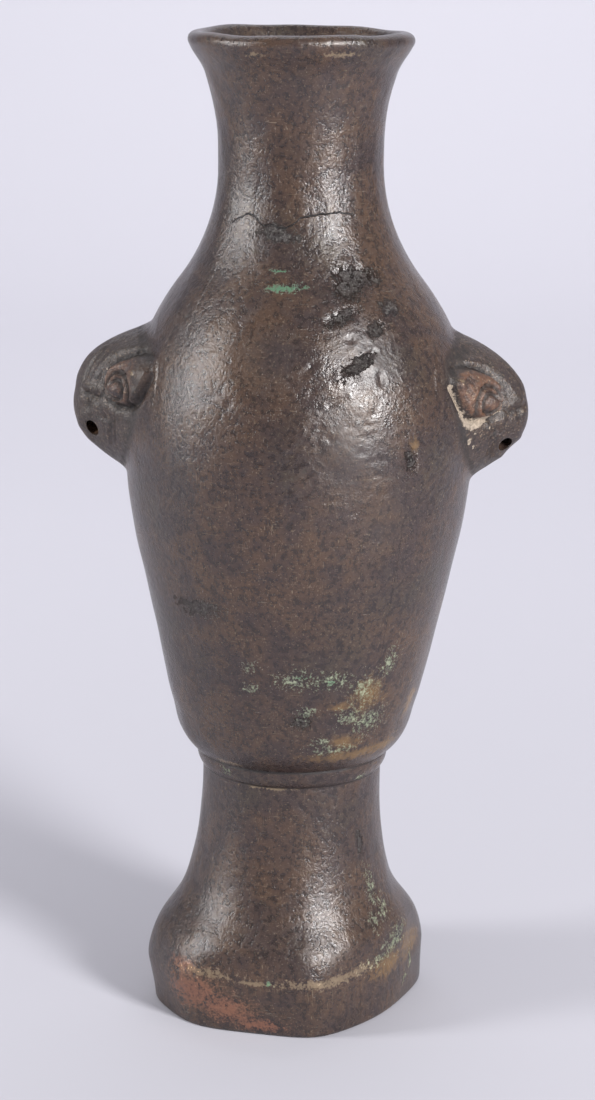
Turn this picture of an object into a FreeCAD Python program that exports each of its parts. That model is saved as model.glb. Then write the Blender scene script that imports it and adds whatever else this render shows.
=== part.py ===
import FreeCAD, Part
import math
import os
import Sketcher

# A small cast bronze vase in one piece: an everted lip, a flaring neck, a shoulder with two beast-mask
# lugs, a tapering body, a ringed collar, and a waisted stem that flares to an eight-sided foot.
# Millimetres. +Z up, the foot rests on z = 0, the axis is x = y = 0, and the lugs point to +X and -X.

SIZES = [
    ("foot_edge_height", 8.3, "base up to the crease between the foot's wall and its flare"),
    ("stem_length", 26.9, "crease of the foot up to the collar ring"),
    ("ring_height", 2.9, "collar ring, crease to crease"),
    ("heel_rise", 5.9, "collar ring up to the end of the taper"),
    ("taper_rise", 40.2, "end of the taper up to the widest place"),
    ("shoulder_rise", 37.8, "widest place up to the narrowest stretch of the neck"),
    ("neck_length", 2.5, "narrowest stretch of the neck"),
    ("lip_rise", 15.5, "narrowest stretch up to the crest of the lip"),
    ("wall", 2.3, "thickness of the vessel wall and the lip"),
    ("neck_radius", 11.45, "outside of the neck at its narrowest"),
    ("lip_flare_radius", 28.0, "outer curve from the neck out to the lip"),
    ("neck_root_radius", 26.0, "outer curve from the neck down to the shoulder"),
    ("belly_radius", 24.45, "outside of the body at its widest"),
    ("belly_low_radius", 75.0, "outer curve under the widest place"),
    ("taper_low_radius", 17.49, "outside of the body where the taper turns in"),
    ("heel_tuck", 3.49, "end of the taper inwards to the crease over the collar ring"),
    ("floor_corner_radius", 8.6, "rounding inside between the vessel's floor and its side"),
    ("floor_rise", 2.5, "lower crease of the collar ring up to the vessel's floor"),
    ("collar_crease", 0.3, "depth of the crease over the ring"),
    ("ring_bulge_radius", 3.4, "outer curve of the collar ring"),
    ("stem_radius", 12.85, "outside of the stem"),
    ("stem_overlap", 0.6, "how far the stem runs up into the ring"),
    ("foot_edge_spread", 0.95, "how far the crease stands outside the base plan"),
    ("flare_power", 2.9, "how late the stem flares"),
    ("facet_power", 2.0, "how late the flare turns eight-sided"),
    ("side_one_reach", 19.53, "axis to the first side of the foot, at the base"),
    ("side_two_reach", 17.75, "axis to the second side"),
    ("side_three_reach", 17.27, "axis to the third side"),
    ("side_four_reach", 16.85, "axis to the fourth side"),
    ("side_one_turn", 33.0, "direction that the first side faces"),
    ("side_two_turn", 80.3, "direction that the second side faces"),
    ("side_three_turn", 133.0, "direction that the third side faces"),
    ("side_four_turn", 159.8, "direction that the fourth side faces"),
    ("corner_sharpness", 12.5, "power that rounds the foot's corners"),
    ("crease_rounding", 1.0, "rounding of the foot's upper crease"),
    ("recess_mouth_radius", 14.4, "opening of the hollow under the foot"),
    ("recess_flare_height", 24.0, "height where that hollow stops narrowing"),
    ("foot_wall", 2.45, "thickness of the stem's wall"),
    ("web", 3.0, "metal between the vessel and the foot's hollow"),
    ("recess_corner_radius", 1.5, "rounding at the hollow's ceiling"),
    ("lug_back_reach", 18.5, "buried back plane of a mask lug"),
    ("chin_rise", -6.0, "widest place up to the chin of a mask lug, which is lower"),
    ("chin_reach", 24.0, "axis of the vase to the front of the chin"),
    ("chin_rounding", 2.6, "rounding of the chin"),
    ("chin_half_width", 11.0, "half width at the back plane, level with the chin"),
    ("jaw_rise", 3.3, "chin up to the jaw"),
    ("jaw_reach", 28.7, "axis of the vase to the front of the jaw"),
    ("jaw_rounding", 3.2, "rounding of the jaw"),
    ("jaw_half_width", 12.2, "half width at the back plane, level with the jaw"),
    ("muzzle_rise", 3.1, "jaw up to the muzzle"),
    ("muzzle_reach", 31.3, "axis of the vase to the front of the muzzle"),
    ("muzzle_rounding", 3.8, "rounding of the muzzle"),
    ("muzzle_half_width", 12.9, "half width at the back plane, level with the muzzle"),
    ("nose_rise", 3.4, "muzzle up to the nose"),
    ("nose_reach", 32.2, "axis of the vase to the tip of the nose"),
    ("nose_rounding", 4.2, "rounding of the nose"),
    ("nose_half_width", 13.4, "half width at the back plane, level with the nose"),
    ("eyes_rise", 4.2, "nose up to the eyes"),
    ("eyes_reach", 30.6, "axis of the vase to the front, level with the eyes"),
    ("eyes_rounding", 4.6, "rounding of the front, level with the eyes"),
    ("eyes_half_width", 13.4, "half width at the back plane, level with the eyes"),
    ("brow_rise", 3.8, "eyes up to the brow"),
    ("brow_reach", 26.9, "axis of the vase to the front of the brow"),
    ("brow_rounding", 4.6, "rounding of the brow"),
    ("brow_half_width", 11.8, "half width at the back plane, level with the brow"),
    ("crown_rise", 2.8, "brow up to the crown"),
    ("crown_reach", 21.6, "axis of the vase to the front of the crown"),
    ("crown_rounding", 4.2, "rounding of the crown"),
    ("crown_half_width", 8.6, "half width at the back plane, level with the crown"),
    ("ring_hole_radius", 0.95, "hole through the muzzle for a loose ring"),
    ("ring_hole_setback", 2.1, "front of the muzzle back to the ring hole"),
    ("ring_hole_rise", 6.0, "chin up to the ring hole"),
    ("flank_angle", 42.5, "degrees that a lug's cheek is turned from the side plane"),
    ("ear_along", 8.3, "back corner of the cheek to the curl of the ear, along the cheek"),
    ("ear_lift", 0.3, "swell of the cheek under the ear over a flat cheek"),
    ("ear_rise", 12.5, "chin up to the curl of the ear"),
    ("ear_stand", 0.9, "how far the ear stands out of the cheek"),
    ("ear_root", 2.2, "how deep the ear is buried"),
    ("ear_tip_reach", 6.3, "curl to the ear's tip, towards the body"),
    ("ear_tip_rise", 2.4, "curl to the ear's tip, upwards"),
    ("ear_nose_reach", 3.1, "curl to the ear's front edge"),
    ("ear_top_rise", 4.1, "curl to the ear's upper edge"),
    ("ear_foot_reach", 2.9, "curl to the ear's lower corner, towards the body"),
    ("ear_foot_drop", 3.3, "curl to the ear's lower corner, downwards"),
    ("curl_radius", 1.95, "middle of the groove round the curl"),
    ("curl_width", 0.7, "width of the groove round the curl"),
    ("curl_depth", 0.6, "depth of the groove round the curl"),
]

# Each height adds one rise to the height under it: name, rise, and the height that it starts from.
CHAIN = [
    ("collar_low", "stem_length", "foot_edge_height"),
    ("cavity_floor", "floor_rise", "collar_low"),
    ("collar_high", "ring_height", "collar_low"),
    ("taper_low", "heel_rise", "collar_high"),
    ("belly_height", "taper_rise", "taper_low"),
    ("neck_low", "shoulder_rise", "belly_height"),
    ("neck_high", "neck_length", "neck_low"),
    ("vase_height", "lip_rise", "neck_high"),
    ("chin_height", "chin_rise", "belly_height"),
    ("jaw_height", "jaw_rise", "chin_height"),
    ("muzzle_height", "muzzle_rise", "jaw_height"),
    ("nose_height", "nose_rise", "muzzle_height"),
    ("eyes_height", "eyes_rise", "nose_height"),
    ("brow_height", "brow_rise", "eyes_height"),
    ("crown_height", "crown_rise", "brow_height"),
    ("ring_hole_height", "ring_hole_rise", "chin_height"),
    ("ear_height", "ear_rise", "chin_height"),
]
LUG_LEVELS = ["chin", "jaw", "muzzle", "nose", "eyes", "brow", "crown"]

FLARE_STEPS = [0.0, 0.12, 0.28, 0.5, 0.75, 1.0]
PLAN_POINTS = 24
FACE_SLACK = 0.01

# The taper's direction, as an expression: tangent to the belly's lower arc through its own low end.
TAPER_RUN = "(sizes.belly_low_radius - sizes.belly_radius + sizes.taper_low_radius)"
TAPER_FROM_LEVEL = (
    "90 deg - atan(sizes.taper_rise / RUN) + acos(sizes.belly_low_radius / sqrt(sizes.taper_rise ^ 2 + RUN ^ 2))"
).replace("RUN", TAPER_RUN)

document = FreeCAD.newDocument("vase")
sheet = document.addObject("Spreadsheet::Sheet", "sizes")
size = {}
level = {}


def write_sheet():
    """One row for each size; the chain's heights get a value and an expression that adds up the rises."""
    for row, (name, value, note) in enumerate(SIZES, start=1):
        sheet.set("A%d" % row, name)
        sheet.set("B%d" % row, str(value))
        sheet.set("C%d" % row, note)
        sheet.setAlias("B%d" % row, name)
        size[name] = value
    for name, rise, start in CHAIN:
        size[name] = size[start] + size[rise]
        level[name] = "%s + sizes.%s" % (level.get(start, "sizes." + start), rise)
    document.recompute()


def point(x, y):
    return FreeCAD.Vector(x, y, 0)


def origin_plane(body, role):
    return next(f for f in body.Origin.OriginFeatures if f.Role == role)


def new_sketch(body, name, role, offset=None):
    sketch = body.newObject("Sketcher::SketchObject", name)
    sketch.AttachmentSupport = [(origin_plane(body, role), "")]
    sketch.MapMode = "FlatFace"
    if offset is not None:
        sketch.AttachmentOffset = offset
    return sketch


def bind(sketch, constraint, expression):
    index = sketch.addConstraint(constraint)
    sketch.setExpression("Constraints[%d]" % index, expression)
    return index


def pin(sketch, geometry, end, across, along):
    """Holds one end of an edge at two distances from the origin; each is (value, expression)."""
    bind(sketch, Sketcher.Constraint("DistanceX", -1, 1, geometry, end, across[0]), across[1])
    bind(sketch, Sketcher.Constraint("DistanceY", -1, 1, geometry, end, along[0]), along[1])


def arc(centre, radius, start, end):
    """Counter-clockwise arc between two directions in radians."""
    return Part.ArcOfCircle(Part.Circle(centre, FreeCAD.Vector(0, 0, 1), radius), start, end)


def line(start, end):
    return Part.LineSegment(start, end)


def vessel_curve(inset):
    """Centres, radii and directions of the tangent arcs of the vessel, moved in by the inset."""
    fall = size["shoulder_rise"]
    spread = size["belly_radius"] - size["neck_radius"]
    lean = 2 * math.atan(spread / fall)
    shoulder = fall / math.sin(lean) - size["neck_root_radius"]
    rise = size["taper_rise"]
    run = size["belly_low_radius"] - size["belly_radius"] + size["taper_low_radius"]
    taper = math.atan(rise / run) - math.acos(size["belly_low_radius"] / math.hypot(rise, run))
    curve = {"lean": lean, "taper": taper}
    curve["flare_centre"] = point(size["neck_radius"] + size["lip_flare_radius"], size["neck_high"])
    curve["flare"] = size["lip_flare_radius"] + inset
    curve["root_centre"] = point(size["neck_radius"] + size["neck_root_radius"], size["neck_low"])
    curve["root"] = size["neck_root_radius"] + inset
    curve["shoulder_centre"] = point(size["belly_radius"] - shoulder, size["belly_height"])
    curve["shoulder"] = shoulder - inset
    curve["belly_centre"] = point(size["belly_radius"] - size["belly_low_radius"], size["belly_height"])
    curve["belly"] = size["belly_low_radius"] - inset
    outward = point(math.cos(taper), -math.sin(taper))
    high = curve["belly_centre"] + outward * size["belly_low_radius"]
    low = point(size["taper_low_radius"], size["taper_low"])
    curve["outward"] = outward
    curve["taper_high"] = high - outward * inset
    curve["taper_low"] = low - outward * inset
    cap = size["wall"] / 2
    middle = size["lip_flare_radius"] + cap
    tilt = math.asin((size["lip_rise"] - cap) / middle)
    curve["lip_tilt"] = tilt
    curve["lip_centre"] = curve["flare_centre"] + point(-math.cos(tilt), math.sin(tilt)) * middle
    return curve


def draw_vessel(sketch, curve, inset, sign, lip_end):
    """Edges 0 to 6: lip, flare, neck, root, shoulder, belly and taper, each tangent to the next."""
    tilt, lean, taper = curve["lip_tilt"], curve["lean"], curve["taper"]
    if lip_end == "outer":
        lip = arc(curve["lip_centre"], size["wall"] / 2, -tilt, math.pi / 2)
        ends = {"flare": 1, "crest": 2}
    else:
        lip = arc(curve["lip_centre"], size["wall"] / 2, math.pi / 2, math.pi - tilt)
        ends = {"flare": 2, "crest": 1}
    neck = size["neck_radius"] - inset
    edges = [
        lip,
        arc(curve["flare_centre"], curve["flare"], math.pi - tilt, math.pi),
        line(point(neck, size["neck_high"]), point(neck, size["neck_low"])),
        arc(curve["root_centre"], curve["root"], math.pi, math.pi + lean),
        arc(curve["shoulder_centre"], curve["shoulder"], 0, lean),
        arc(curve["belly_centre"], curve["belly"], -taper, 0),
        line(curve["taper_low"], curve["taper_high"]),
    ]
    sketch.addGeometry(edges, False)
    for first, first_end, second, second_end in (
        (0, ends["flare"], 1, 1),
        (1, 2, 2, 1),
        (2, 2, 3, 1),
        (3, 2, 4, 2),
        (4, 1, 5, 2),
        (5, 1, 6, 2),
    ):
        sketch.addConstraint(Sketcher.Constraint("Tangent", first, first_end, second, second_end))
    bind(sketch, Sketcher.Constraint("Radius", 0, size["wall"] / 2), "sizes.wall / 2")
    bind(sketch, Sketcher.Constraint("Radius", 1, curve["flare"]), "sizes.lip_flare_radius" + sign[1])
    bind(sketch, Sketcher.Constraint("Radius", 3, curve["root"]), "sizes.neck_root_radius" + sign[1])
    bind(sketch, Sketcher.Constraint("Radius", 5, curve["belly"]), "sizes.belly_low_radius" + sign[0])
    pin(sketch, 2, 1, (neck, "sizes.neck_radius" + sign[0]), (size["neck_high"], level["neck_high"]))
    sketch.addConstraint(Sketcher.Constraint("Vertical", 2))
    bind(sketch, Sketcher.Constraint("DistanceY", -1, 1, 2, 2, size["neck_low"]), level["neck_low"])
    belly = size["belly_radius"] - inset
    pin(sketch, 5, 2, (belly, "sizes.belly_radius" + sign[0]), (size["belly_height"], level["belly_height"]))
    sketch.addConstraint(Sketcher.Constraint("Horizontal", 5, 3, 5, 2))
    lean_from_level = math.pi / 2 - taper
    bind(sketch, Sketcher.Constraint("Angle", 6, lean_from_level), TAPER_FROM_LEVEL)
    sketch.addConstraint(Sketcher.Constraint("Vertical", 0, 3, 0, ends["crest"]))
    crest = size["vase_height"]
    bind(sketch, Sketcher.Constraint("DistanceY", -1, 1, 0, ends["crest"], crest), level["vase_height"])


def join(sketch, *ends):
    """Coincident ends of neighbouring edges: (edge, end, edge, end)."""
    for first, first_end, second, second_end in ends:
        sketch.addConstraint(Sketcher.Constraint("Coincident", first, first_end, second, second_end))


def revolve(body, kind, name, sketch):
    feature = body.newObject(kind, name)
    feature.Profile = sketch
    feature.ReferenceAxis = (sketch, ["V_Axis"])
    feature.Angle = 360
    return feature


def add_vessel(body):
    """The solid of revolution from the lip down to the collar ring."""
    sketch = new_sketch(body, "vessel_profile", "XZ_Plane")
    curve = vessel_curve(0)
    draw_vessel(sketch, curve, 0, ("", ""), "outer")
    corner = point(size["taper_low_radius"] - size["heel_tuck"], size["collar_high"])
    chord = corner - curve["taper_low"]
    heel = -chord.Length ** 2 / (2 * chord.dot(curve["outward"]))
    heel_centre = curve["taper_low"] - curve["outward"] * heel
    way = corner - heel_centre
    ring_top = point(corner.x - size["collar_crease"], size["collar_high"])
    ring_low = point(size["stem_radius"] - size["collar_crease"] / 2, size["collar_low"])
    chord = ring_top - ring_low
    bulge = math.sqrt(size["ring_bulge_radius"] ** 2 - (chord.Length / 2) ** 2)
    inward = point(-chord.y, chord.x) / chord.Length
    ring_centre = (ring_top + ring_low) / 2 + inward * bulge
    top_way, low_way = ring_top - ring_centre, ring_low - ring_centre
    edges = [
        arc(heel_centre, heel, math.atan2(way.y, way.x), -curve["taper"]),
        line(corner, ring_top),
        arc(ring_centre, size["ring_bulge_radius"], math.atan2(low_way.y, low_way.x),
            math.atan2(top_way.y, top_way.x)),
        line(ring_low, point(0, size["collar_low"])),
        line(point(0, size["collar_low"]), point(0, size["vase_height"])),
        line(point(0, size["vase_height"]), point(curve["lip_centre"].x, size["vase_height"])),
    ]
    sketch.addGeometry(edges, False)
    sketch.addConstraint(Sketcher.Constraint("Tangent", 6, 1, 7, 2))
    join(sketch, (7, 1, 8, 1), (8, 2, 9, 2), (9, 1, 10, 1), (10, 2, 11, 1), (11, 2, 12, 1), (12, 2, 0, 2))
    low = size["taper_low"]
    bind(sketch, Sketcher.Constraint("DistanceY", -1, 1, 6, 1, low), level["taper_low"])
    pin(sketch, 7, 1, (corner.x, "sizes.taper_low_radius - sizes.heel_tuck"), (corner.y, level["collar_high"]))
    for edge in (8, 10, 12):
        sketch.addConstraint(Sketcher.Constraint("Horizontal", edge))
    crease = size["collar_crease"]
    bind(sketch, Sketcher.Constraint("DistanceX", 8, 2, 8, 1, crease), "sizes.collar_crease")
    bulge_radius = size["ring_bulge_radius"]
    bind(sketch, Sketcher.Constraint("Radius", 9, bulge_radius), "sizes.ring_bulge_radius")
    pin(sketch, 9, 1, (ring_low.x, "sizes.stem_radius - sizes.collar_crease / 2"),
        (size["collar_low"], level["collar_low"]))
    sketch.addConstraint(Sketcher.Constraint("PointOnObject", 11, 1, -2))
    sketch.addConstraint(Sketcher.Constraint("PointOnObject", 11, 2, -2))
    return revolve(body, "PartDesign::Revolution", "vessel", sketch)


def plan_radius(direction, reaches, turns):
    """Rounded polygon: the sides' reaches are joined by a power mean, which softens each corner."""
    total = 0.0
    for reach, turn in zip(reaches, turns):
        facing = math.cos(direction - turn)
        if facing > 0:
            total += (facing / reach) ** size["corner_sharpness"]
    return total ** (-1 / size["corner_sharpness"])


def foot_plan(grow):
    """Radii of the eight-sided plan; each side has its twin across the axis."""
    words = ("one", "two", "three", "four")
    reaches = [size["side_%s_reach" % word] + grow for word in words] * 2
    turns = [math.radians(size["side_%s_turn" % word]) for word in words]
    turns += [turn + math.pi for turn in turns]
    directions = [2 * math.pi * step / PLAN_POINTS for step in range(PLAN_POINTS)]
    return directions, [plan_radius(direction, reaches, turns) for direction in directions]


def plan_sketch(body, name, height, expression, radius_at):
    """A closed level curve; the radius is a function of the direction and the eight-sided radius."""
    sketch = new_sketch(body, name, "XY_Plane", FreeCAD.Placement(
        FreeCAD.Vector(0, 0, height), FreeCAD.Rotation()))
    sketch.setExpression("AttachmentOffset.Base.z", expression)
    directions, radii = foot_plan(size["foot_edge_spread"])
    points = []
    for direction, radius in zip(directions, radii):
        reach = radius_at(radius)
        points.append(point(reach * math.cos(direction), reach * math.sin(direction)))
    curve = Part.BSplineCurve()
    curve.interpolate(Points=points, PeriodicFlag=True)
    sketch.addGeometry(curve, False)
    return sketch


def loft(body, name, sketches, ruled):
    feature = body.newObject("PartDesign::AdditiveLoft", name)
    feature.Profile = sketches[0]
    feature.Sections = sketches[1:]
    feature.Ruled = ruled
    return feature


def round_closed_edge(body, name, base, height, radius_name):
    """Rounds the one closed edge of the foot that lies level at the given height."""
    document.recompute()
    names = []
    for index, edge in enumerate(base.Shape.Edges, start=1):
        box = edge.BoundBox
        flat = abs(box.ZMin - height) < FACE_SLACK and abs(box.ZMax - height) < FACE_SLACK
        if flat and box.XLength > size["side_four_reach"]:
            names.append("Edge%d" % index)
    fillet = body.newObject("PartDesign::Fillet", name)
    fillet.Base = (base, names)
    fillet.Radius = size[radius_name]
    fillet.setExpression("Radius", "sizes." + radius_name)
    return fillet


def add_foot(body):
    """The stem that flares from round to eight-sided, and the foot's wall under the crease."""
    edge, top = size["foot_edge_height"], size["collar_low"] + size["stem_overlap"]
    flare = []
    for number, step in enumerate(FLARE_STEPS):
        share = 1 - step

        def radius_at(radius, share=share):
            spread = (radius - size["stem_radius"]) * share ** size["facet_power"]
            round_edge = size["side_one_reach"] + size["foot_edge_spread"] - size["stem_radius"]
            round_spread = round_edge * (1 - share ** size["facet_power"])
            return size["stem_radius"] + (spread + round_spread) * share ** size["flare_power"]

        rise = "sizes.foot_edge_height + %g * (sizes.stem_length + sizes.stem_overlap)" % step
        height = edge + step * (top - edge)
        flare.append(plan_sketch(body, "flare_plan_%d" % number, height, rise, radius_at))
    loft(body, "stem_flare", flare, False)
    crease = plan_sketch(body, "crease_plan", edge, "sizes.foot_edge_height", lambda radius: radius)
    base = plan_sketch(body, "base_plan", 0, "0 * sizes.foot_edge_height",
                       lambda radius: radius - size["foot_edge_spread"])
    wall = loft(body, "foot_wall", [crease, base], True)
    return round_closed_edge(body, "crease_edge", wall, edge, "crease_rounding")


def lug_section(body, name):
    """A level section of a lug: a straight back, two cheeks and a round muzzle tangent to them."""
    height, reach = size[name + "_height"], size[name + "_reach"]
    radius, half_width = size[name + "_rounding"], size[name + "_half_width"]
    back = size["lug_back_reach"]
    sketch = new_sketch(body, name + "_section", "XY_Plane", FreeCAD.Placement(
        FreeCAD.Vector(0, 0, height), FreeCAD.Rotation()))
    sketch.setExpression("AttachmentOffset.Base.z", level[name + "_height"])
    centre = point(reach - radius, 0)
    corner = point(back, half_width)
    way = corner - centre
    turn = math.atan2(way.y, way.x) - math.acos(radius / way.Length)
    touch = centre + point(math.cos(turn), math.sin(turn)) * radius
    low_touch, low_corner = point(touch.x, -touch.y), point(back, -half_width)
    sketch.addGeometry([line(low_corner, low_touch), arc(centre, radius, -turn, turn),
                        line(touch, corner), line(corner, low_corner)], False)
    sketch.addConstraint(Sketcher.Constraint("Tangent", 0, 2, 1, 1))
    sketch.addConstraint(Sketcher.Constraint("Tangent", 1, 2, 2, 1))
    join(sketch, (2, 2, 3, 1), (3, 2, 0, 1))
    sketch.addConstraint(Sketcher.Constraint("Symmetric", 3, 1, 3, 2, -1))
    bind(sketch, Sketcher.Constraint("DistanceX", -1, 1, 3, 1, back), "sizes.lug_back_reach")
    bind(sketch, Sketcher.Constraint("DistanceY", 3, 2, 3, 1, 2 * half_width),
         "2 * sizes.%s_half_width" % name)
    bind(sketch, Sketcher.Constraint("Radius", 1, radius), "sizes.%s_rounding" % name)
    bind(sketch, Sketcher.Constraint("DistanceX", -1, 1, 1, 3, reach - radius),
         "sizes.%s_reach - sizes.%s_rounding" % (name, name))
    return sketch


def cheek_sketch(body, name, side, lift):
    """A sketch on a cheek: its first axis runs to the muzzle and its second axis runs up."""
    turn = math.radians(size["flank_angle"])
    along, out = size["ear_along"], size["ear_lift"] + lift
    reach = size["lug_back_reach"] + along * math.cos(turn) + out * math.sin(turn)
    aside = size["eyes_half_width"] - along * math.sin(turn) + out * math.cos(turn)
    offset = FreeCAD.Placement(
        FreeCAD.Vector(reach, size["ear_height"], -side * aside),
        FreeCAD.Rotation(FreeCAD.Vector(0, 1, 0), -side * size["flank_angle"]))
    return new_sketch(body, name, "XZ_Plane", offset)


def add_ear(body, side, word):
    """The ear on one cheek: a leaf that stands out of the cheek, with a curled groove at its front."""
    tip = point(-size["ear_tip_reach"], size["ear_tip_rise"])
    front = point(size["ear_nose_reach"], size["ear_tip_rise"] / 2)
    foot = point(-size["ear_foot_reach"], -size["ear_foot_drop"])
    low_front = point(size["ear_nose_reach"] / 2, -size["ear_foot_drop"] * 0.8)
    crest = point(-size["ear_nose_reach"] / 2, size["ear_top_rise"])
    sketch = cheek_sketch(body, "ear_outline_" + word, side, -size["ear_root"])
    side_bulge = point(size["ear_nose_reach"] * 1.06, -size["ear_foot_drop"] / 4)
    sketch.addGeometry([
        Part.Arc(front, crest, tip),
        Part.Arc(low_front, side_bulge, front),
        line(low_front, foot),
        line(foot, tip),
    ], False)
    join(sketch, (0, 1, 1, 2), (0, 2, 3, 2), (1, 1, 2, 1), (2, 2, 3, 1))
    pin(sketch, 0, 2, (tip.x, "-sizes.ear_tip_reach"), (tip.y, "sizes.ear_tip_rise"))
    pin(sketch, 0, 1, (front.x, "sizes.ear_nose_reach"), (front.y, "sizes.ear_tip_rise / 2"))
    pin(sketch, 2, 2, (foot.x, "-sizes.ear_foot_reach"), (foot.y, "-sizes.ear_foot_drop"))
    ear = body.newObject("PartDesign::Pad", "ear_" + word)
    ear.Profile = sketch
    ear.Length = size["ear_root"] + size["ear_stand"]
    ear.setExpression("Length", "sizes.ear_root + sizes.ear_stand")
    ear.Reversed = side > 0
    groove = cheek_sketch(body, "curl_outline_" + word, side, size["ear_stand"])
    inner, outer = size["curl_radius"] - size["curl_width"] / 2, size["curl_radius"] + size["curl_width"] / 2
    start, end = math.radians(15), math.radians(240)
    centre = point(0, 0)
    ways = [point(math.cos(angle), math.sin(angle)) for angle in (start, end)]
    groove.addGeometry([arc(centre, outer, start, end), line(ways[1] * outer, ways[1] * inner),
                        arc(centre, inner, start, end), line(ways[0] * inner, ways[0] * outer)], False)
    join(groove, (0, 2, 1, 1), (1, 2, 2, 2), (2, 1, 3, 1), (3, 2, 0, 1))
    bind(groove, Sketcher.Constraint("Radius", 0, outer), "sizes.curl_radius + sizes.curl_width / 2")
    bind(groove, Sketcher.Constraint("Radius", 2, inner), "sizes.curl_radius - sizes.curl_width / 2")
    curl = body.newObject("PartDesign::Pocket", "curl_" + word)
    curl.Profile = groove
    curl.Length = size["curl_depth"]
    curl.setExpression("Length", "sizes.curl_depth")
    curl.Reversed = side > 0
    return [ear, curl]


def add_lugs(body):
    """The right mask lug with an ear on each cheek, and its mirror on the left."""
    sections = [lug_section(body, name) for name in LUG_LEVELS]
    features = [loft(body, "mask", sections, False)]
    features += add_ear(body, -1, "front")
    features += add_ear(body, 1, "back")
    mirror = body.newObject("PartDesign::Mirrored", "left_lug")
    mirror.Originals = features
    mirror.MirrorPlane = (origin_plane(body, "YZ_Plane"), [""])
    body.Tip = mirror
    return mirror


def add_cavity(body):
    """The hollow of the vessel: the same curves as outside, moved in by the wall, and a round floor."""
    wall = size["wall"]
    sketch = new_sketch(body, "cavity_profile", "XZ_Plane")
    curve = vessel_curve(wall)
    draw_vessel(sketch, curve, wall, (" - sizes.wall", " + sizes.wall"), "inner")
    heel = size["floor_corner_radius"]
    heel_centre = curve["taper_low"] - curve["outward"] * heel
    slope = point(math.sin(curve["taper"]), math.cos(curve["taper"]))
    shift = slope * ((size["cavity_floor"] + heel - heel_centre.y) / slope.y)
    heel_centre = heel_centre + shift
    low = curve["taper_low"] + shift
    floor = point(heel_centre.x, size["cavity_floor"])
    above = size["vase_height"] + wall
    crest = point(curve["lip_centre"].x, size["vase_height"])
    sketch.moveGeometry(6, 1, low)
    edges = [
        arc(heel_centre, heel, -math.pi / 2, -curve["taper"]),
        line(floor, point(0, floor.y)),
        line(point(0, floor.y), point(0, above)),
        line(point(0, above), point(crest.x, above)),
        line(point(crest.x, above), crest),
    ]
    sketch.addGeometry(edges, False)
    sketch.addConstraint(Sketcher.Constraint("Tangent", 6, 1, 7, 2))
    join(sketch, (8, 2, 9, 1), (9, 2, 10, 1), (10, 2, 11, 1), (11, 2, 0, 1))
    sketch.addConstraint(Sketcher.Constraint("Tangent", 7, 1, 8, 1))
    bind(sketch, Sketcher.Constraint("Radius", 7, heel), "sizes.floor_corner_radius")
    for edge in (8, 10):
        sketch.addConstraint(Sketcher.Constraint("Horizontal", edge))
    sketch.addConstraint(Sketcher.Constraint("Vertical", 11))
    for end in (1, 2):
        sketch.addConstraint(Sketcher.Constraint("PointOnObject", 9, end, -2))
    bind(sketch, Sketcher.Constraint("DistanceY", -1, 1, 9, 1, floor.y), level["cavity_floor"])
    bind(sketch, Sketcher.Constraint("DistanceY", -1, 1, 9, 2, above), level["vase_height"] + " + sizes.wall")
    return revolve(body, "PartDesign::Groove", "cavity", sketch)


def add_recess(body):
    """The hollow under the foot: it narrows along one curve to the stem and ends under the web."""
    sketch = new_sketch(body, "recess_profile", "XZ_Plane")
    narrow = size["stem_radius"] - size["foot_wall"]
    ceiling = size["cavity_floor"] - size["web"]
    mouth, high = size["recess_mouth_radius"], size["recess_flare_height"]
    spread = mouth - narrow
    radius = (high ** 2 + spread ** 2) / (2 * spread)
    corner = size["recess_corner_radius"]
    sketch.addGeometry([
        line(point(0, 0), point(mouth, 0)),
        arc(point(narrow + radius, high), radius, math.pi, math.pi + math.asin(high / radius)),
        line(point(narrow, high), point(narrow, ceiling - corner)),
        arc(point(narrow - corner, ceiling - corner), corner, 0, math.pi / 2),
        line(point(narrow - corner, ceiling), point(0, ceiling)),
        line(point(0, ceiling), point(0, 0)),
    ], False)
    join(sketch, (0, 2, 1, 2), (4, 2, 5, 1), (5, 2, 0, 1), (0, 1, -1, 1))
    for first, first_end, second, second_end in ((1, 1, 2, 1), (2, 2, 3, 1), (3, 2, 4, 1)):
        sketch.addConstraint(Sketcher.Constraint("Tangent", first, first_end, second, second_end))
    sketch.addConstraint(Sketcher.Constraint("Horizontal", 0))
    sketch.addConstraint(Sketcher.Constraint("Vertical", 2))
    sketch.addConstraint(Sketcher.Constraint("Horizontal", 4))
    sketch.addConstraint(Sketcher.Constraint("Vertical", 5))
    bind(sketch, Sketcher.Constraint("DistanceX", -1, 1, 0, 2, mouth), "sizes.recess_mouth_radius")
    pin(sketch, 2, 1, (narrow, "sizes.stem_radius - sizes.foot_wall"), (high, "sizes.recess_flare_height"))
    bind(sketch, Sketcher.Constraint("Radius", 3, corner), "sizes.recess_corner_radius")
    bind(sketch, Sketcher.Constraint("DistanceY", -1, 1, 4, 2, ceiling),
         level["cavity_floor"] + " - sizes.web")
    return revolve(body, "PartDesign::Groove", "foot_recess", sketch)


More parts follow.
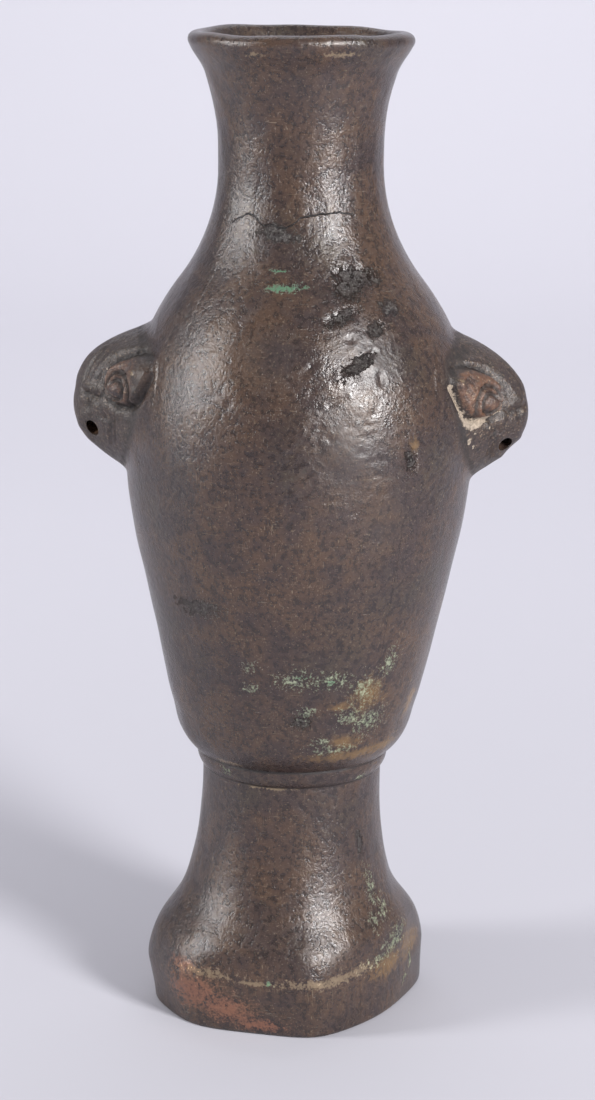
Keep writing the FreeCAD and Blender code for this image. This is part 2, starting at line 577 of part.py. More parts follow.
def add_ring_holes(body):
    """One straight hole across each muzzle, where a loose ring hangs."""
    sketch = new_sketch(body, "ring_hole_circles", "XZ_Plane")
    reach = size["muzzle_reach"] - size["ring_hole_setback"]
    height, radius = size["ring_hole_height"], size["ring_hole_radius"]
    for number, side in enumerate((1, -1)):
        circle = Part.Circle(point(side * reach, height), FreeCAD.Vector(0, 0, 1), radius)
        sketch.addGeometry(circle, False)
        bind(sketch, Sketcher.Constraint("Radius", number, radius), "sizes.ring_hole_radius")
        bind(sketch, Sketcher.Constraint("DistanceX", -1, 1, number, 3, side * reach),
             "%d * (sizes.muzzle_reach - sizes.ring_hole_setback)" % side)
        bind(sketch, Sketcher.Constraint("DistanceY", -1, 1, number, 3, height), level["ring_hole_height"])
    holes = body.newObject("PartDesign::Pocket", "ring_holes")
    holes.Profile = sketch
    holes.Type = "ThroughAll"
    holes.Midplane = True
    return holes


def check_smaller(before, feature):
    document.recompute()
    after = feature.Shape.Volume
    if not after < before:
        raise RuntimeError(feature.Label + " removed nothing")
    return after


def check_document(part):
    for thing in document.Objects:
        if "Invalid" in thing.State or "Error" in thing.State:
            raise RuntimeError(thing.Name + " failed: " + ", ".join(thing.State))
    shape = part.Shape
    if shape.isNull() or not shape.isValid() or len(shape.Solids) != 1:
        raise RuntimeError(part.Label + " is not one valid solid")


write_sheet()
vase = document.addObject("PartDesign::Body", "cast_vase")
vase.Label = "cast_vase"
vase.Placement = FreeCAD.Placement()
add_vessel(vase)
add_foot(vase)
lugs = add_lugs(vase)
document.recompute()
volume = lugs.Shape.Volume
for cut in (add_cavity, add_recess, add_ring_holes):
    feature = cut(vase)
    volume = check_smaller(volume, feature)
document.recompute()
check_document(vase)
os.makedirs("parts", exist_ok=True)
vase.Shape.exportStep("parts/cast_vase.step")
print("cast_vase: volume %.1f mm3, faces %d" % (volume, len(vase.Shape.Faces)))
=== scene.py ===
"""A small cast bronze vase with two beast-mask lugs, its patina, and its paper sweep."""

import math
from collections import namedtuple

import bpy
import numpy as np
from mathutils import Matrix, Vector


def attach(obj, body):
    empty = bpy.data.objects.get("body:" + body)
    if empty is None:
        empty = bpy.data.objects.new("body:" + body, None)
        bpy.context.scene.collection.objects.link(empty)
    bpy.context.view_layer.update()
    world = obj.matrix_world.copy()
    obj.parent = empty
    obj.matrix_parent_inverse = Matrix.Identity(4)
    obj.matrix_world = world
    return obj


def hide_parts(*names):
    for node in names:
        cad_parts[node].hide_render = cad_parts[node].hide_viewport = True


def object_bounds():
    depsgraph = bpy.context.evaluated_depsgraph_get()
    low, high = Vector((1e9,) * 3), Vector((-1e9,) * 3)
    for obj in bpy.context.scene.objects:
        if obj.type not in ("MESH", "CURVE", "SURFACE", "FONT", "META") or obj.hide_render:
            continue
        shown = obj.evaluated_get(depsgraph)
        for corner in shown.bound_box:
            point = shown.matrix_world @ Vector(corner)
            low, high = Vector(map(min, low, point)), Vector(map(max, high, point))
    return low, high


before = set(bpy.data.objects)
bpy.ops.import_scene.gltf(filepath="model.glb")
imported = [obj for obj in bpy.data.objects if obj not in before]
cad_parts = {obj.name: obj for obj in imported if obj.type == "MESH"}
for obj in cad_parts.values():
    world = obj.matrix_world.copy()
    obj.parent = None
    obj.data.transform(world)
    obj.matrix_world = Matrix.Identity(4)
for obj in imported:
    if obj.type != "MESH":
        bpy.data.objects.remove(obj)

CAD_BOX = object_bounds()

bl_info = {
    "name": "Cast bronze vase",
    "version": (1, 0, 0),
    "blender": (4, 5, 0),
    "location": "View3D > Sidebar > Vase",
    "description": "Casts the bronze vase, colours its patina and sets its studio",
    "category": "Add Mesh",
}

MM = 0.001

# Arcs of the vessel's outer curve, in mm: how far each centre is from the axis, its height, and the
# arc's radius.
Arc = namedtuple("Arc", "centre height radius")
LIP_ARC = Arc(39.45, 124.5, 28.0)
ROOT_ARC = Arc(37.45, 122.0, 26.0)
SHOULDER_ARC = Arc(-11.01, 84.2, 35.46)
BELLY_ARC = Arc(-50.55, 84.2, 75.0)
HEEL_ARC = Arc(6.84, 46.30, 10.9)
COLLAR_ARC = Arc(10.349, 37.656, 3.4)
WALL = 2.3
NECK_RADIUS = 11.45
SHOULDER_LEAN = math.radians(37.96)
TAPER_LEAN = math.radians(12.2)
LIP_RADIUS = 15.23
LIP_HEIGHT = 138.85
VESSEL_FLOOR = 37.7
# The collar ring lies between these heights, in mm, and the stem meets it between them.
COLLAR_FOOT, STEM_TOP, COLLAR_TOP = 35.2, 36.6, 38.1
# In mm: height of the foot's upper edge, how much wider the foot is there than at its base, and the
# stem with its flare.
FOOT_EDGE = 8.3
FOOT_SPREAD = 0.95
STEM_RADIUS = 12.85
FLARE_LENGTH = 27.5
FLARE_REACH = 7.63
FLARE_POWER = 2.75
# The hollow under the foot, in mm: its radius, how much wider its mouth is and up to what height,
# and its ceiling's rounding and height.
RECESS_RADIUS = 10.4
RECESS_SPREAD = 4.0
RECESS_SPREAD_TOP = 24.0
RECESS_ROUNDING = 1.5
RECESS_CEILING = 34.7
# Sides of the foot: direction each one faces in degrees, and its distance from the axis in mm.
FOOT_SIDES = [(33.0, 19.53), (80.3, 17.75), (133.0, 17.27), (159.8, 16.85)]
CORNER_POWER = 12.5

# Level sections of a mask lug from the chin to the crown, in mm: height, reach of the muzzle,
# rounding of the muzzle, half width where the lug meets the body.
LUG_LEVELS = np.array([
    (75.5, 20.0, 2.0, 9.0),
    (78.2, 24.0, 2.6, 11.0),
    (81.5, 28.7, 3.2, 12.2),
    (84.6, 31.3, 3.8, 12.9),
    (88.0, 32.05, 4.2, 13.4),
    (92.2, 30.6, 4.6, 13.4),
    (96.0, 26.9, 4.6, 11.8),
    (98.8, 21.6, 4.2, 8.6),
    (101.0, 15.0, 3.6, 5.0),
])
LUG_BACK = 18.5
LUG_FOOT, LUG_TOP = 76.0, 101.0
# What differs between the masks: the direction each faces, and -1 where it is mirrored; in mm, its
# carving's shift, its ear's bright tip, and the hole's height in the muzzle and at the drill's
# mouth; how much fuller its crown is in mm, how red its ear is, and whether earth lies on it.
Mask = namedtuple("Mask", "name facing mirror shift tip hole drill crown red earthy")
MASKS = [
    Mask("right", 0.0, 1, (-1.4, 0.4), (-5.2, 3.3), 83.4, 81.7, crown=0.0, red=1.0, earthy=True),
    Mask("left", np.pi, -1, (0.5, -0.6), (-3.8, 2.8), 84.7, 83.2, crown=0.9, red=0.5, earthy=False),
]
# Ring holes, in mm: the middle of the hole's mouth along the lug; each half's drill starts this far
# along the lug and to its side, and ends here, past the lug's middle and this much higher.
HOLE_ALONG = 28.9
DRILL_MOUTH = (29.15, 6.5)
DRILL_END = (28.7, 0.3, 3.6)

# Carving, seen square to the cheek. Places are in mm from the curl's knob: towards the muzzle, and
# up. The knob lies this far out along the lug, this far to its side, and this high. The lean is the
# cheek's direction: its shares along the lug and across it.
KNOB = (25.1, 8.3, 90.7)
CHEEK_LEAN = (0.737, 0.676)
EAR_MIDDLE = (-1.4, 1.2)
EAR_OUTLINE = [
    (-5.9, 3.2), (-4.7, 4.0), (-3.4, 4.35), (-2.0, 4.4), (-0.3, 3.9), (1.2, 3.3), (2.2, 2.4),
    (2.7, 1.2), (2.7, -0.2), (2.1, -1.4), (0.9, -1.9), (-0.6, -1.9), (-2.2, -1.7), (-3.4, -0.8),
    (-4.7, 0.9), (-5.6, 2.4),
]
# The groove that winds from under the ear's middle, up and over, in to the knob.
CURL = [
    (-1.9, -2.0), (-2.45, -0.8), (-2.4, 0.7), (-1.6, 1.9), (-0.3, 2.35), (1.1, 2.0), (2.0, 1.0),
    (2.1, -0.2), (1.3, -1.2), (0.0, -1.5), (-1.2, -0.9), (-1.45, 0.2), (-0.8, 1.15), (0.2, 1.25),
    (0.9, 0.7),
]
# Carved lines: half width, depth (less than 0 stands out), and the line's bends.
CARVED = [
    (0.40, 0.55, [(-5.2, 4.6), (-3.6, 5.0), (-2.0, 5.0), (0.0, 4.4), (1.5, 3.7), (2.6, 2.7),
                  (3.2, 1.2), (3.3, -0.2), (2.7, -1.8), (1.3, -2.5), (-0.6, -2.5), (-2.4, -2.3),
                  (-3.9, -1.3), (-5.3, 0.7), (-6.4, 2.6)]),
    (0.90, 0.38, [(-5.0, 6.0), (-2.4, 6.3), (0.0, 6.7)]),
    (0.30, 0.30, [(5.5, 4.4), (6.5, 2.9), (7.2, 1.5), (7.6, 0.1)]),
    (0.34, 0.36, [(3.6, -1.2), (4.6, -1.8), (6.3, -1.6), (7.7, -1.3)]),
    (0.28, 0.30, [(6.2, -2.0), (6.6, -3.5)]),
    (0.26, 0.28, [(1.4, -4.3), (1.6, -6.0), (2.0, -7.6)]),
    (0.26, 0.28, [(2.3, -4.1), (2.2, -5.6), (3.1, -8.1)]),
    (0.26, 0.24, [(3.2, -4.0), (3.2, -5.4), (3.9, -7.2)]),
    (0.26, 0.26, [(3.2, -4.6), (4.6, -4.7), (5.9, -4.5)]),
    (0.24, 0.20, [(3.9, 1.9), (4.3, 0.4), (4.2, -0.9)]),
    (0.55, -0.26, [(-1.0, 5.6), (0.6, 5.5), (2.0, 4.9), (3.3, 3.9), (4.1, 2.8), (4.8, 1.7),
                   (5.3, 0.7)]),
]
# Bosses of the eye, the nose and the jowl: place, size and height.
BOSSES = [
    (4.6, -0.7, 0.6, 0.30), (5.8, -0.4, 0.8, 0.36), (6.9, -0.3, 0.7, 0.28), (7.6, -2.3, 0.8, 0.34),
    (3.2, -2.9, 0.6, 0.26), (0.6, -3.7, 0.55, 0.22), (-1.0, -4.0, 0.45, 0.18),
    (4.8, -3.2, 0.6, 0.22),
]
# Dried earth under the right mask's ear: half width and place of each bend, and of each speck.
EARTH = [
    (0.16, -6.3, 2.9), (0.26, -5.8, 1.6), (0.38, -5.1, 0.0), (0.48, -4.3, -1.3), (0.72, -3.4, -2.5),
    (0.75, -2.2, -3.0), (0.62, -1.0, -2.8), (0.36, 0.4, -2.3), (0.30, 1.9, -1.6),
]
EARTH_SPECKS = [
    (0.5, -2.4, -5.3), (0.3, -1.3, -6.2), (0.25, 0.7, -3.7), (0.22, -1.6, -4.2), (0.2, 1.0, 1.6),
    (0.2, 2.6, -2.0),
]

# Casting flaws in the shoulder: azimuth in degrees (-90 is the front), height, half width and half
# height in mm, tilt in degrees, depth in mm.
PITS = [
    (-57.0, 108.3, 3.2, 0.9, -4.0, 0.42), (-64.5, 106.9, 2.0, 1.2, 24.0, 0.50),
    (-71.0, 103.3, 2.5, 0.6, 20.0, 0.34), (-57.3, 101.6, 1.3, 0.6, 28.0, 0.34),
    (-66.5, 97.6, 2.7, 0.6, 28.0, 0.40), (-84.2, 97.1, 1.7, 0.35, 42.0, 0.24),
    (-59.0, 95.4, 0.5, 1.2, 0.0, 0.24), (-49.0, 84.6, 1.3, 1.9, 10.0, 0.20),
    (-69.0, 100.6, 0.8, 0.5, -20.0, 0.22), (-52.0, 105.4, 1.1, 0.5, 10.0, 0.24),
    (-77.0, 92.6, 1.1, 0.35, 35.0, 0.18), (-63.0, 91.0, 0.6, 0.35, 10.0, 0.2),
    (-43.0, 112.5, 0.8, 0.4, 20.0, 0.2), (-111.0, 92.0, 0.5, 0.9, -12.0, 0.14),
]

# Patches of patina, wear and painted glints: azimuth in degrees, height, half width and half height
# in mm, and a tilt in degrees where they have one.
PATCHES = {
    "malachite": [
        (-95, 106.9, 3.4, 0.7, 3), (-98.5, 109, 1.8, 0.35), (-94.4, 8.2, 0.8, 0.6),
        (-84, 53.9, 1.2, 0.5), (-72, 52.9, 0.9, 0.5),
    ],
    "verdigris": [
        (-105.8, 54.9, 1.3, 0.9, 10), (-105.8, 51.7, 1.5, 1), (-86, 53.4, 3.4, 1.7),
        (-72.7, 53.1, 3.4, 1.4), (-57, 51.2, 2.9, 2.6), (-62, 47.3, 2.4, 1.8),
        (-51, 46.4, 3.2, 2.4), (-46, 54.6, 1.6, 2.6, -20), (-82.3, 48.3, 1.6, 1.2),
        (-74.7, 43.6, 1.4, 1), (-66, 42.2, 4, 0.9), (-32, 18.6, 1.3, 3.6, 8),
        (-26, 15.6, 2, 1.5, 30), (-36.9, 14.6, 1.2, 1.6), (-24, 10.8, 4.2, 2.2, 20),
        (-36, 9.2, 4.2, 1.2, 6), (-6, 5.6, 0.8, 2.2), (-13, 3.6, 1.4, 1), (-40, 35.9, 1.6, 0.6),
        (-130, 36.9, 1.4, 0.8),
    ],
    "ochre": [
        (-61.4, 43.2, 3, 1.8), (-57, 41, 9.5, 1.2), (-39, 41.2, 6, 1.3), (-54, 50.6, 3.6, 4.4, -10),
        (-66, 49, 2.4, 0.7), (-8, 8.6, 5.5, 3.4), (-28, 7.8, 6, 2.6, 10),
        (-47.7, 86.4, 1.2, 1.6, 20), (-22, 47, 2.2, 3.2),
    ],
    "copper": [
        (-129, 5.6, 6, 3.4), (-114, 3.6, 5, 2.6), (-133, 8.9, 4.2, 1.4), (-100, 1.6, 5, 1.3),
    ],
    # Bare metal rubbed on the foot's crease and the collar, part wear and part painted highlight;
    # the two patches on the lip and the two at the ear tips, near 94 mm high, are painted glints.
    "rubbed": [
        (-70, 8.3, 8.5, 0.9), (-50, 8.7, 4.6, 1.1), (-124, 8.8, 6, 0.8), (-100, 8.1, 5, 0.45),
        (-112, 137.6, 1.6, 0.5), (-66, 137.5, 2.6, 0.5), (-127, 38.8, 3.4, 0.5),
        (-100, 35.3, 7, 0.35), (-24.3, 93.7, 0.6, 0.5), (-154.1, 94, 0.6, 0.5),
    ],
    "smudge": [
        (-126, 62.8, 3.6, 1.3), (-49.5, 84.5, 0.9, 1.7, 10), (-104, 114.2, 1.9, 0.6, -4),
        (-57, 108.2, 3.6, 1.3, -4), (-64.5, 106.9, 2.4, 1.6, 24), (-71, 103.3, 2.8, 0.9, 20),
        (-57.3, 101.6, 1.5, 0.9, 28), (-66.5, 97.4, 3, 0.9, 28), (-47, 104, 1.7, 0.9),
        (-38, 26, 0.7, 1.9, 12), (-84, 47, 1.7, 1.1), (-100, 113.2, 3, 0.5),
    ],
    "warm": [
        (-84, 24, 9, 9), (-88, 124, 8, 12), (-38, 92, 5, 8), (-88, 66, 9, 9), (-112, 88, 6, 9),
        (-60, 60, 8, 6),
    ],
    "battered": [
        (-72, 86, 9, 11, 10), (-98, 98, 6, 6), (-58, 76, 6, 6), (-62, 98, 7, 7),
    ],
}
# The crack across the root of the neck: azimuth in degrees and height in mm of its bends.
CRACK = [
    (-136.0, 114.4), (-132.0, 115.1), (-122.9, 116.1), (-117.0, 115.6), (-111.6, 114.6),
    (-105.0, 114.8), (-100.5, 114.4), (-94.0, 114.7), (-88.2, 115.7), (-81.2, 116.1),
    (-70.2, 116.3), (-65.4, 116.5), (-60.6, 116.2), (-53.1, 116.3), (-50.0, 115.9),
]
# How far from the crack its height is still told apart, in mm.
CRACK_REACH = 3.0

# Colours of the skin that aren't settings.
MASK_GRIME = (0.12, 0.068, 0.042)
EAR_RED = (0.18, 0.078, 0.038)
FLAW_SCALE = (0.16, 0.16, 0.14)
PALE_BLOOM = (0.55, 0.58, 0.42)

# The paper sweep, in metres: its flat part, the radius of its bend, its upright part, half its
# width, and its front edge. Near the lens the paper is this share as bright.
SWEEP_FLAT, SWEEP_BEND, SWEEP_RISE = 1.6, 0.35, 1.2
SWEEP_HALF_WIDTH, SWEEP_FRONT = 1.6, -1.0
NEAR_SHADE = 0.80
ROOM_COLOUR = (0.94, 0.94, 1.0, 1.0)
# Softboxes: name, setting of its power, place, aim, width and height, in metres.
SOFTBOXES = [
    ("softbox_right", "right_power", (0.42, -0.42, 0.30), (0.0, 0.0, 0.075), 0.13, 0.26),
    ("softbox_left", "left_power", (-0.52, -0.14, 0.26), (0.0, 0.0, 0.075), 0.13, 0.30),
    ("softbox_back", "back_power", (0.0, 0.50, 0.75), (0.0, 0.95, 0.05), 1.0, 0.30),
]
# The camera as fitted to the photo: lens in pixels of a frame this high, the sensor's height in mm,
# pitch, yaw and roll in degrees, its place in metres, and how far it stands round from the front.
LENS_PIXELS, FRAME_PIXELS = 2630.7, 1100.0
SENSOR_HEIGHT = 36.0
PITCH, YAW, ROLL = 14.29, 0.10, 0.71
CAMERA_PLACE = (-0.00073, -0.364, 0.1596)
CAMERA_ROUND = 3.0



def length(name, description, default):
    """A setting of a length, in metres."""
    return bpy.props.FloatProperty(
        name=name, description=description, default=default, unit="LENGTH", subtype="DISTANCE")


def tint(name, description, default):
    """A setting of a colour."""
    return bpy.props.FloatVectorProperty(
        name=name, description=description, default=default, subtype="COLOR", size=3)


def light(name, description, default):
    """A setting of a lamp's power or a light's strength, never below 0."""
    return bpy.props.FloatProperty(name=name, description=description, default=default, min=0.0)


class VaseShape(bpy.types.PropertyGroup):
    """Sizes of the casting that can be changed."""

    columns: bpy.props.IntProperty(
        name="Columns", description="Columns of the skin round the axis, at the lugs",
        default=560, min=80, max=2000)
    lip_wave: length("Lip wave", "How far the crest of the lip rises and falls", 0.00045)
    foot_lean: length("Foot lean", "How far the foot stands to the left of the lugs", 0.0012)
    relief: length("Relief", "How far the ears stand out of the cheeks", 0.0009)
    hole_radius: length("Ring hole", "Radius of the hole through each muzzle", 0.00095)


class BronzeFinish(bpy.types.PropertyGroup):
    """Colours of the patina."""

    dark: tint("Dark patina", "Colour of most of the bronze", (0.041, 0.0255, 0.0235))
    brown: tint("Brown patina", "Warm mottling", (0.080, 0.044, 0.026))
    olive: tint("Olive patina", "Greenish mottling", (0.056, 0.044, 0.025))
    # Worn metal is also the colour of the painted glints on the lip and the ear tips.
    raised: tint("Worn metal", "Metal rubbed bare on edges", (0.60, 0.46, 0.30))
    verdigris: tint("Verdigris", "Pale green corrosion", (0.20, 0.26, 0.16))
    malachite: tint("Malachite", "Bright green corrosion", (0.05, 0.22, 0.11))
    ochre: tint("Ochre", "Earthy corrosion", (0.30, 0.17, 0.05))
    copper: tint("Copper red", "Reddish corrosion", (0.36, 0.16, 0.10))
    dirt: tint("Dirt", "Dried earth in the hollows", (0.42, 0.34, 0.26))


class StudioStage(bpy.types.PropertyGroup):
    """Paper, lamps and camera."""

    paper: tint("Paper", "Colour of the paper sweep", (0.67, 0.66, 0.722))
    right_power: light("Right lamp", "Power of the softbox on the right, in watts", 5.2)
    left_power: light("Left lamp", "Power of the softbox on the left, in watts", 2.1)
    back_power: light("Backdrop lamp", "Power of the lamp over the backdrop, in watts", 3.6)
    world: light("Room light", "Strength of the light from all round", 0.37)


def smooth_max(a, b, width):
    """Larger of a and b, with their crossing filled where they differ by less than the width."""
    return np.maximum(a, b) + np.maximum(width - np.abs(a - b), 0.0) ** 2 / (4.0 * width)


def smooth_min(a, b, width):
    """Smaller of a and b, with their crossing rounded where they differ by less than the width."""
    return np.minimum(a, b) - np.maximum(width - np.abs(a - b), 0.0) ** 2 / (4.0 * width)


def step(low, high, value):
    """0 below low, 1 above high, and a cubic ease between them."""
    share = np.clip((value - low) / (high - low), 0.0, 1.0)
    return share * share * (3.0 - 2.0 * share)


def bell(value, middle, width):
    """1 at the middle, falling as a bell curve of that half width."""
    return np.exp(-((value - middle) / width) ** 2)


def spot(s, t, middle, spread):
    """1 in a round spot's middle, falling as a bell curve; spread is its half width squared."""
    return np.exp(-((s - middle[0]) ** 2 + (t - middle[1]) ** 2) / spread)


def angle_from(turn, middle):
    """Angle of turn from the direction middle, between -pi and pi."""
    return np.angle(np.exp(1j * (turn - middle)))


def spline(knots, values, at):
    """Natural cubic spline through the values at the knots: its second derivatives solve one
    tridiagonal system."""
    gap = np.diff(knots)
    count = len(knots)
    system = np.eye(count)
    inner = np.arange(1, count - 1)
    system[inner, inner - 1] = gap[:-1]
    system[inner, inner] = 2.0 * (gap[:-1] + gap[1:])
    system[inner, inner + 1] = gap[1:]
    right = np.zeros(count)
    slopes = np.diff(values) / gap
    right[1:-1] = 6.0 * np.diff(slopes)
    bend = np.linalg.solve(system, right)
    at = np.clip(at, knots[0], knots[-1])
    span = np.clip(np.searchsorted(knots, at) - 1, 0, count - 2)
    left, rest = at - knots[span], knots[span + 1] - at
    h = gap[span]
    return (
        bend[span] * rest ** 3 / (6 * h) + bend[span + 1] * left ** 3 / (6 * h)
        + (values[span] / h - bend[span] * h / 6) * rest
        + (values[span + 1] / h - bend[span + 1] * h / 6) * left
    )


def arc_radius(z, arc, inset, side):
    """Radius at height z of an arc that swells outwards (side 1) or draws inwards (side -1), taken
    an inset closer to the axis."""
    radius = arc.radius - side * inset
    return arc.centre + side * np.sqrt(np.maximum(radius ** 2 - (z - arc.height) ** 2, 0.0))


def vessel_radius(z, inset):
    """Radius of the round vessel at height z, both in mm: the lip's flare, the neck, its root, the
    shoulder, the belly, the taper and the heel, each an arc or a line tangent to the next. An
    inset gives the same curve that far inside the outer one."""
    shoulder_top = SHOULDER_ARC.height + (SHOULDER_ARC.radius - inset) * math.sin(SHOULDER_LEAN)
    taper_top = BELLY_ARC.height - (BELLY_ARC.radius - inset) * math.sin(TAPER_LEAN)
    heel_top = HEEL_ARC.height - (HEEL_ARC.radius - inset) * math.sin(TAPER_LEAN)
    taper_radius = BELLY_ARC.centre + (BELLY_ARC.radius - inset) * math.cos(TAPER_LEAN)
    return np.select(
        [z >= LIP_ARC.height, z >= ROOT_ARC.height, z >= shoulder_top, z >= BELLY_ARC.height,
         z >= taper_top, z >= heel_top],
        [
            arc_radius(z, LIP_ARC, inset, -1),
            np.full_like(z, NECK_RADIUS - inset),
            arc_radius(z, ROOT_ARC, inset, -1),
            arc_radius(z, SHOULDER_ARC, inset, 1),
            arc_radius(z, BELLY_ARC, inset, 1),
            taper_radius + (z - taper_top) * math.tan(TAPER_LEAN),
        ],
        arc_radius(z, HEEL_ARC, inset, 1),
    )


def foot_plan(turn):
    """Distance from the axis to the upper edge of the eight-sided foot in direction turn: each
    side is a straight line, and a power mean rounds the corners between them."""
    total = 0.0
    for facing, reach in FOOT_SIDES:
        for side in (facing, facing + 180.0):
            toward = np.maximum(np.cos(turn - math.radians(side)), 0.0)
            total = total + (toward / (reach + FOOT_SPREAD)) ** CORNER_POWER
    return total ** (-1.0 / CORNER_POWER)


def stem_radius(turn, z):
    """Radius of the stem and foot: a round stem that flares as a power of the way down and grows
    eight-sided to the foot's upper edge, with a low swell over it, then the foot's wall leaning in
    to its base."""
    plan = foot_plan(turn)
    share = np.maximum(1.0 - (z - FOOT_EDGE) / FLARE_LENGTH, 0.0)
    sided = share ** 2
    spread = (plan - STEM_RADIUS) * sided + FLARE_REACH * (1.0 - sided)
    flare = STEM_RADIUS + spread * share ** FLARE_POWER
    flare = flare + 0.9 * bell(z, 12.3, 3.2)
    wall = plan - FOOT_SPREAD * (FOOT_EDGE - z) / FOOT_EDGE
    return smooth_min(flare, wall, 1.9) + 0.45 * step(16.0, 9.0, z)


def lug_radius(turn, z):
    """Distance from the axis to a mask lug in direction turn, measured from the lug's own middle
    plane: at each level two straight cheeks run tangent to a round muzzle."""
    reach, rounding, half = (
        spline(LUG_LEVELS[:, 0], LUG_LEVELS[:, column], z) for column in (1, 2, 3))
    centre = reach - rounding
    back = centre - LUG_BACK
    span = np.hypot(back, half)
    slant = np.arcsin(np.clip(rounding / span, -1.0, 1.0))
    normal = np.pi / 2 - (np.arctan2(half, back) - slant)
    away = np.abs(turn)
    cheek = (centre * np.cos(normal) + rounding) / np.maximum(np.cos(away - normal), 0.2)
    inner = rounding ** 2 - (centre * np.sin(away)) ** 2
    muzzle = centre * np.cos(away) + np.sqrt(np.maximum(inner, 0.0))
    touch = np.arctan2(rounding * np.sin(normal), centre + rounding * np.cos(normal))
    lug = np.where(away < touch, muzzle, cheek)
    return np.where(away < np.arctan2(half, LUG_BACK), lug, 0.0)


def nearness(s, t, path, width):
    """1 on a line through the path's bends, falling as a bell curve of half width away from it."""
    nearest = np.full_like(s, 1e3)
    for (s1, t1), (s2, t2) in zip(path[:-1], path[1:]):
        ds, dt = s2 - s1, t2 - t1
        share = np.clip(((s - s1) * ds + (t - t1) * dt) / (ds * ds + dt * dt), 0.0, 1.0)
        nearest = np.minimum(nearest, np.hypot(s - s1 - share * ds, t - t1 - share * dt))
    return bell(nearest, 0.0, width)


def mask_relief(turn, z, reach, ear_height, mask):
    """Relief of one mask in mm over its plain lug, the painted shade in its grooves, how much dirt
    lies on it, and the ear's own area. The ear is a domed leaf drawn out to a tip towards the body;
    a groove starts under its middle, runs up and over, and winds in to a knob. Carved lines and
    bosses make the brow, the eye, the nose and the jowl."""
    along, side = reach * np.cos(turn), reach * np.sin(np.abs(turn))
    s = (along - KNOB[0]) * CHEEK_LEAN[0] - (side - KNOB[1]) * CHEEK_LEAN[1] + mask.shift[0]
    t = z - KNOB[2] + mask.shift[1]
    on_cheek = step(1.0, 3.0, side)

    from_s, from_t = s - EAR_MIDDLE[0], t - EAR_MIDDLE[1]
    corners = np.array(EAR_OUTLINE) - EAR_MIDDLE
    outline = np.interp(np.arctan2(from_t, from_s), np.arctan2(corners[:, 1], corners[:, 0]),
                        np.hypot(corners[:, 0], corners[:, 1]), period=2 * np.pi)
    depth = outline - np.hypot(from_s, from_t)
    ear = step(-0.25, 0.3, depth)
    relief = ear_height * (0.8 * ear + 0.35 * step(0.0, 2.6, depth))
    relief = relief + 0.4 * spot(s, t, mask.tip, 0.6)
    curl = nearness(s, t, CURL, 0.34)
    relief = relief - 0.6 * curl + 0.25 * spot(s, t, (0.0, 0.0), 0.8)

    # Painted shade in the curl's groove and in the cut lines off the ear: a darker colour stands in
    # for the shade there.
    hollow = 1.3 * curl
    for width, cut, path in CARVED:
        line = nearness(s, t, path, width)
        relief = relief - cut * line * (1.0 - 0.7 * ear)
        hollow = np.maximum(hollow, line * min(1.0, max(cut, 0.0) * 2.2) * (1.0 - ear))
    for place_s, place_t, size, height in BOSSES:
        relief = relief + height * spot(s, t, (place_s, place_t), size ** 2)

    # The crest between the brows, the fuller crown, and the hole's worn mouth with its rim.
    crest = bell(side, 0.0, 1.3) * step(89.5, 92.0, z) * step(101.0, 97.0, z)
    crown = mask.crown * bell(z, 95.5, 3.6) * step(9.0, 3.0, side)
    relief = relief * on_cheek + 0.25 * crest + crown
    hole = np.hypot(along - HOLE_ALONG, z - mask.hole)
    relief = relief - 0.35 * bell(hole, 0.0, 1.35) + 0.16 * bell(hole, 2.1, 0.5)

    dirt = np.zeros_like(s)
    if mask.earthy:
        for (w1, s1, t1), (w2, s2, t2) in zip(EARTH[:-1], EARTH[1:]):
            dirt = np.maximum(dirt, nearness(s, t, [(s1, t1), (s2, t2)], 0.6 * (w1 + w2)))
        for width, s1, t1 in EARTH_SPECKS:
            dirt = np.maximum(dirt, spot(s, t, (s1, t1), width ** 2))
    return relief, hollow * on_cheek, dirt * on_cheek, ear * on_cheek * mask.red


def lumps(turn, z, size, seed):
    """Unevenness of a hand-finished casting, from -1 to 1: a sum of twelve waves round and up the
    vase, none shorter than the size in mm, each with its own count, pitch and phase."""
    draw = np.random.default_rng(seed)
    total = 0.0
    for _ in range(12):
        waves = draw.integers(1, 3 + int(75.0 / size))
        pitch = draw.uniform(0.5, 2.5) / size
        phase = draw.uniform(0.0, 2 * np.pi)
        total = total + np.sin(waves * turn + pitch * z * draw.choice([-1.0, 1.0]) + phase)
    return total / 6.0


def across_mark(turn, z, radius, azimuth, height, wide, tall, tilt=0.0):
    """Place of each point over a tilted ellipse on the skin, in shares of its two half axes."""
    off = angle_from(turn, math.radians(azimuth)) * radius
    rise = z - height
    c, s = math.cos(math.radians(tilt)), math.sin(math.radians(tilt))
    return (off * c + rise * s) / wide, (rise * c - off * s) / tall


def patch_depth(turn, z, radius, marks):
    """How deep each point lies in the nearest of several ellipses on the skin: 1 at the middle of
    one, 0 at its edge and less outside."""
    found = np.full_like(z, -1.0)
    for mark in marks:
        found = np.maximum(found, 1.0 - np.hypot(*across_mark(turn, z, radius, *mark)))
    return found


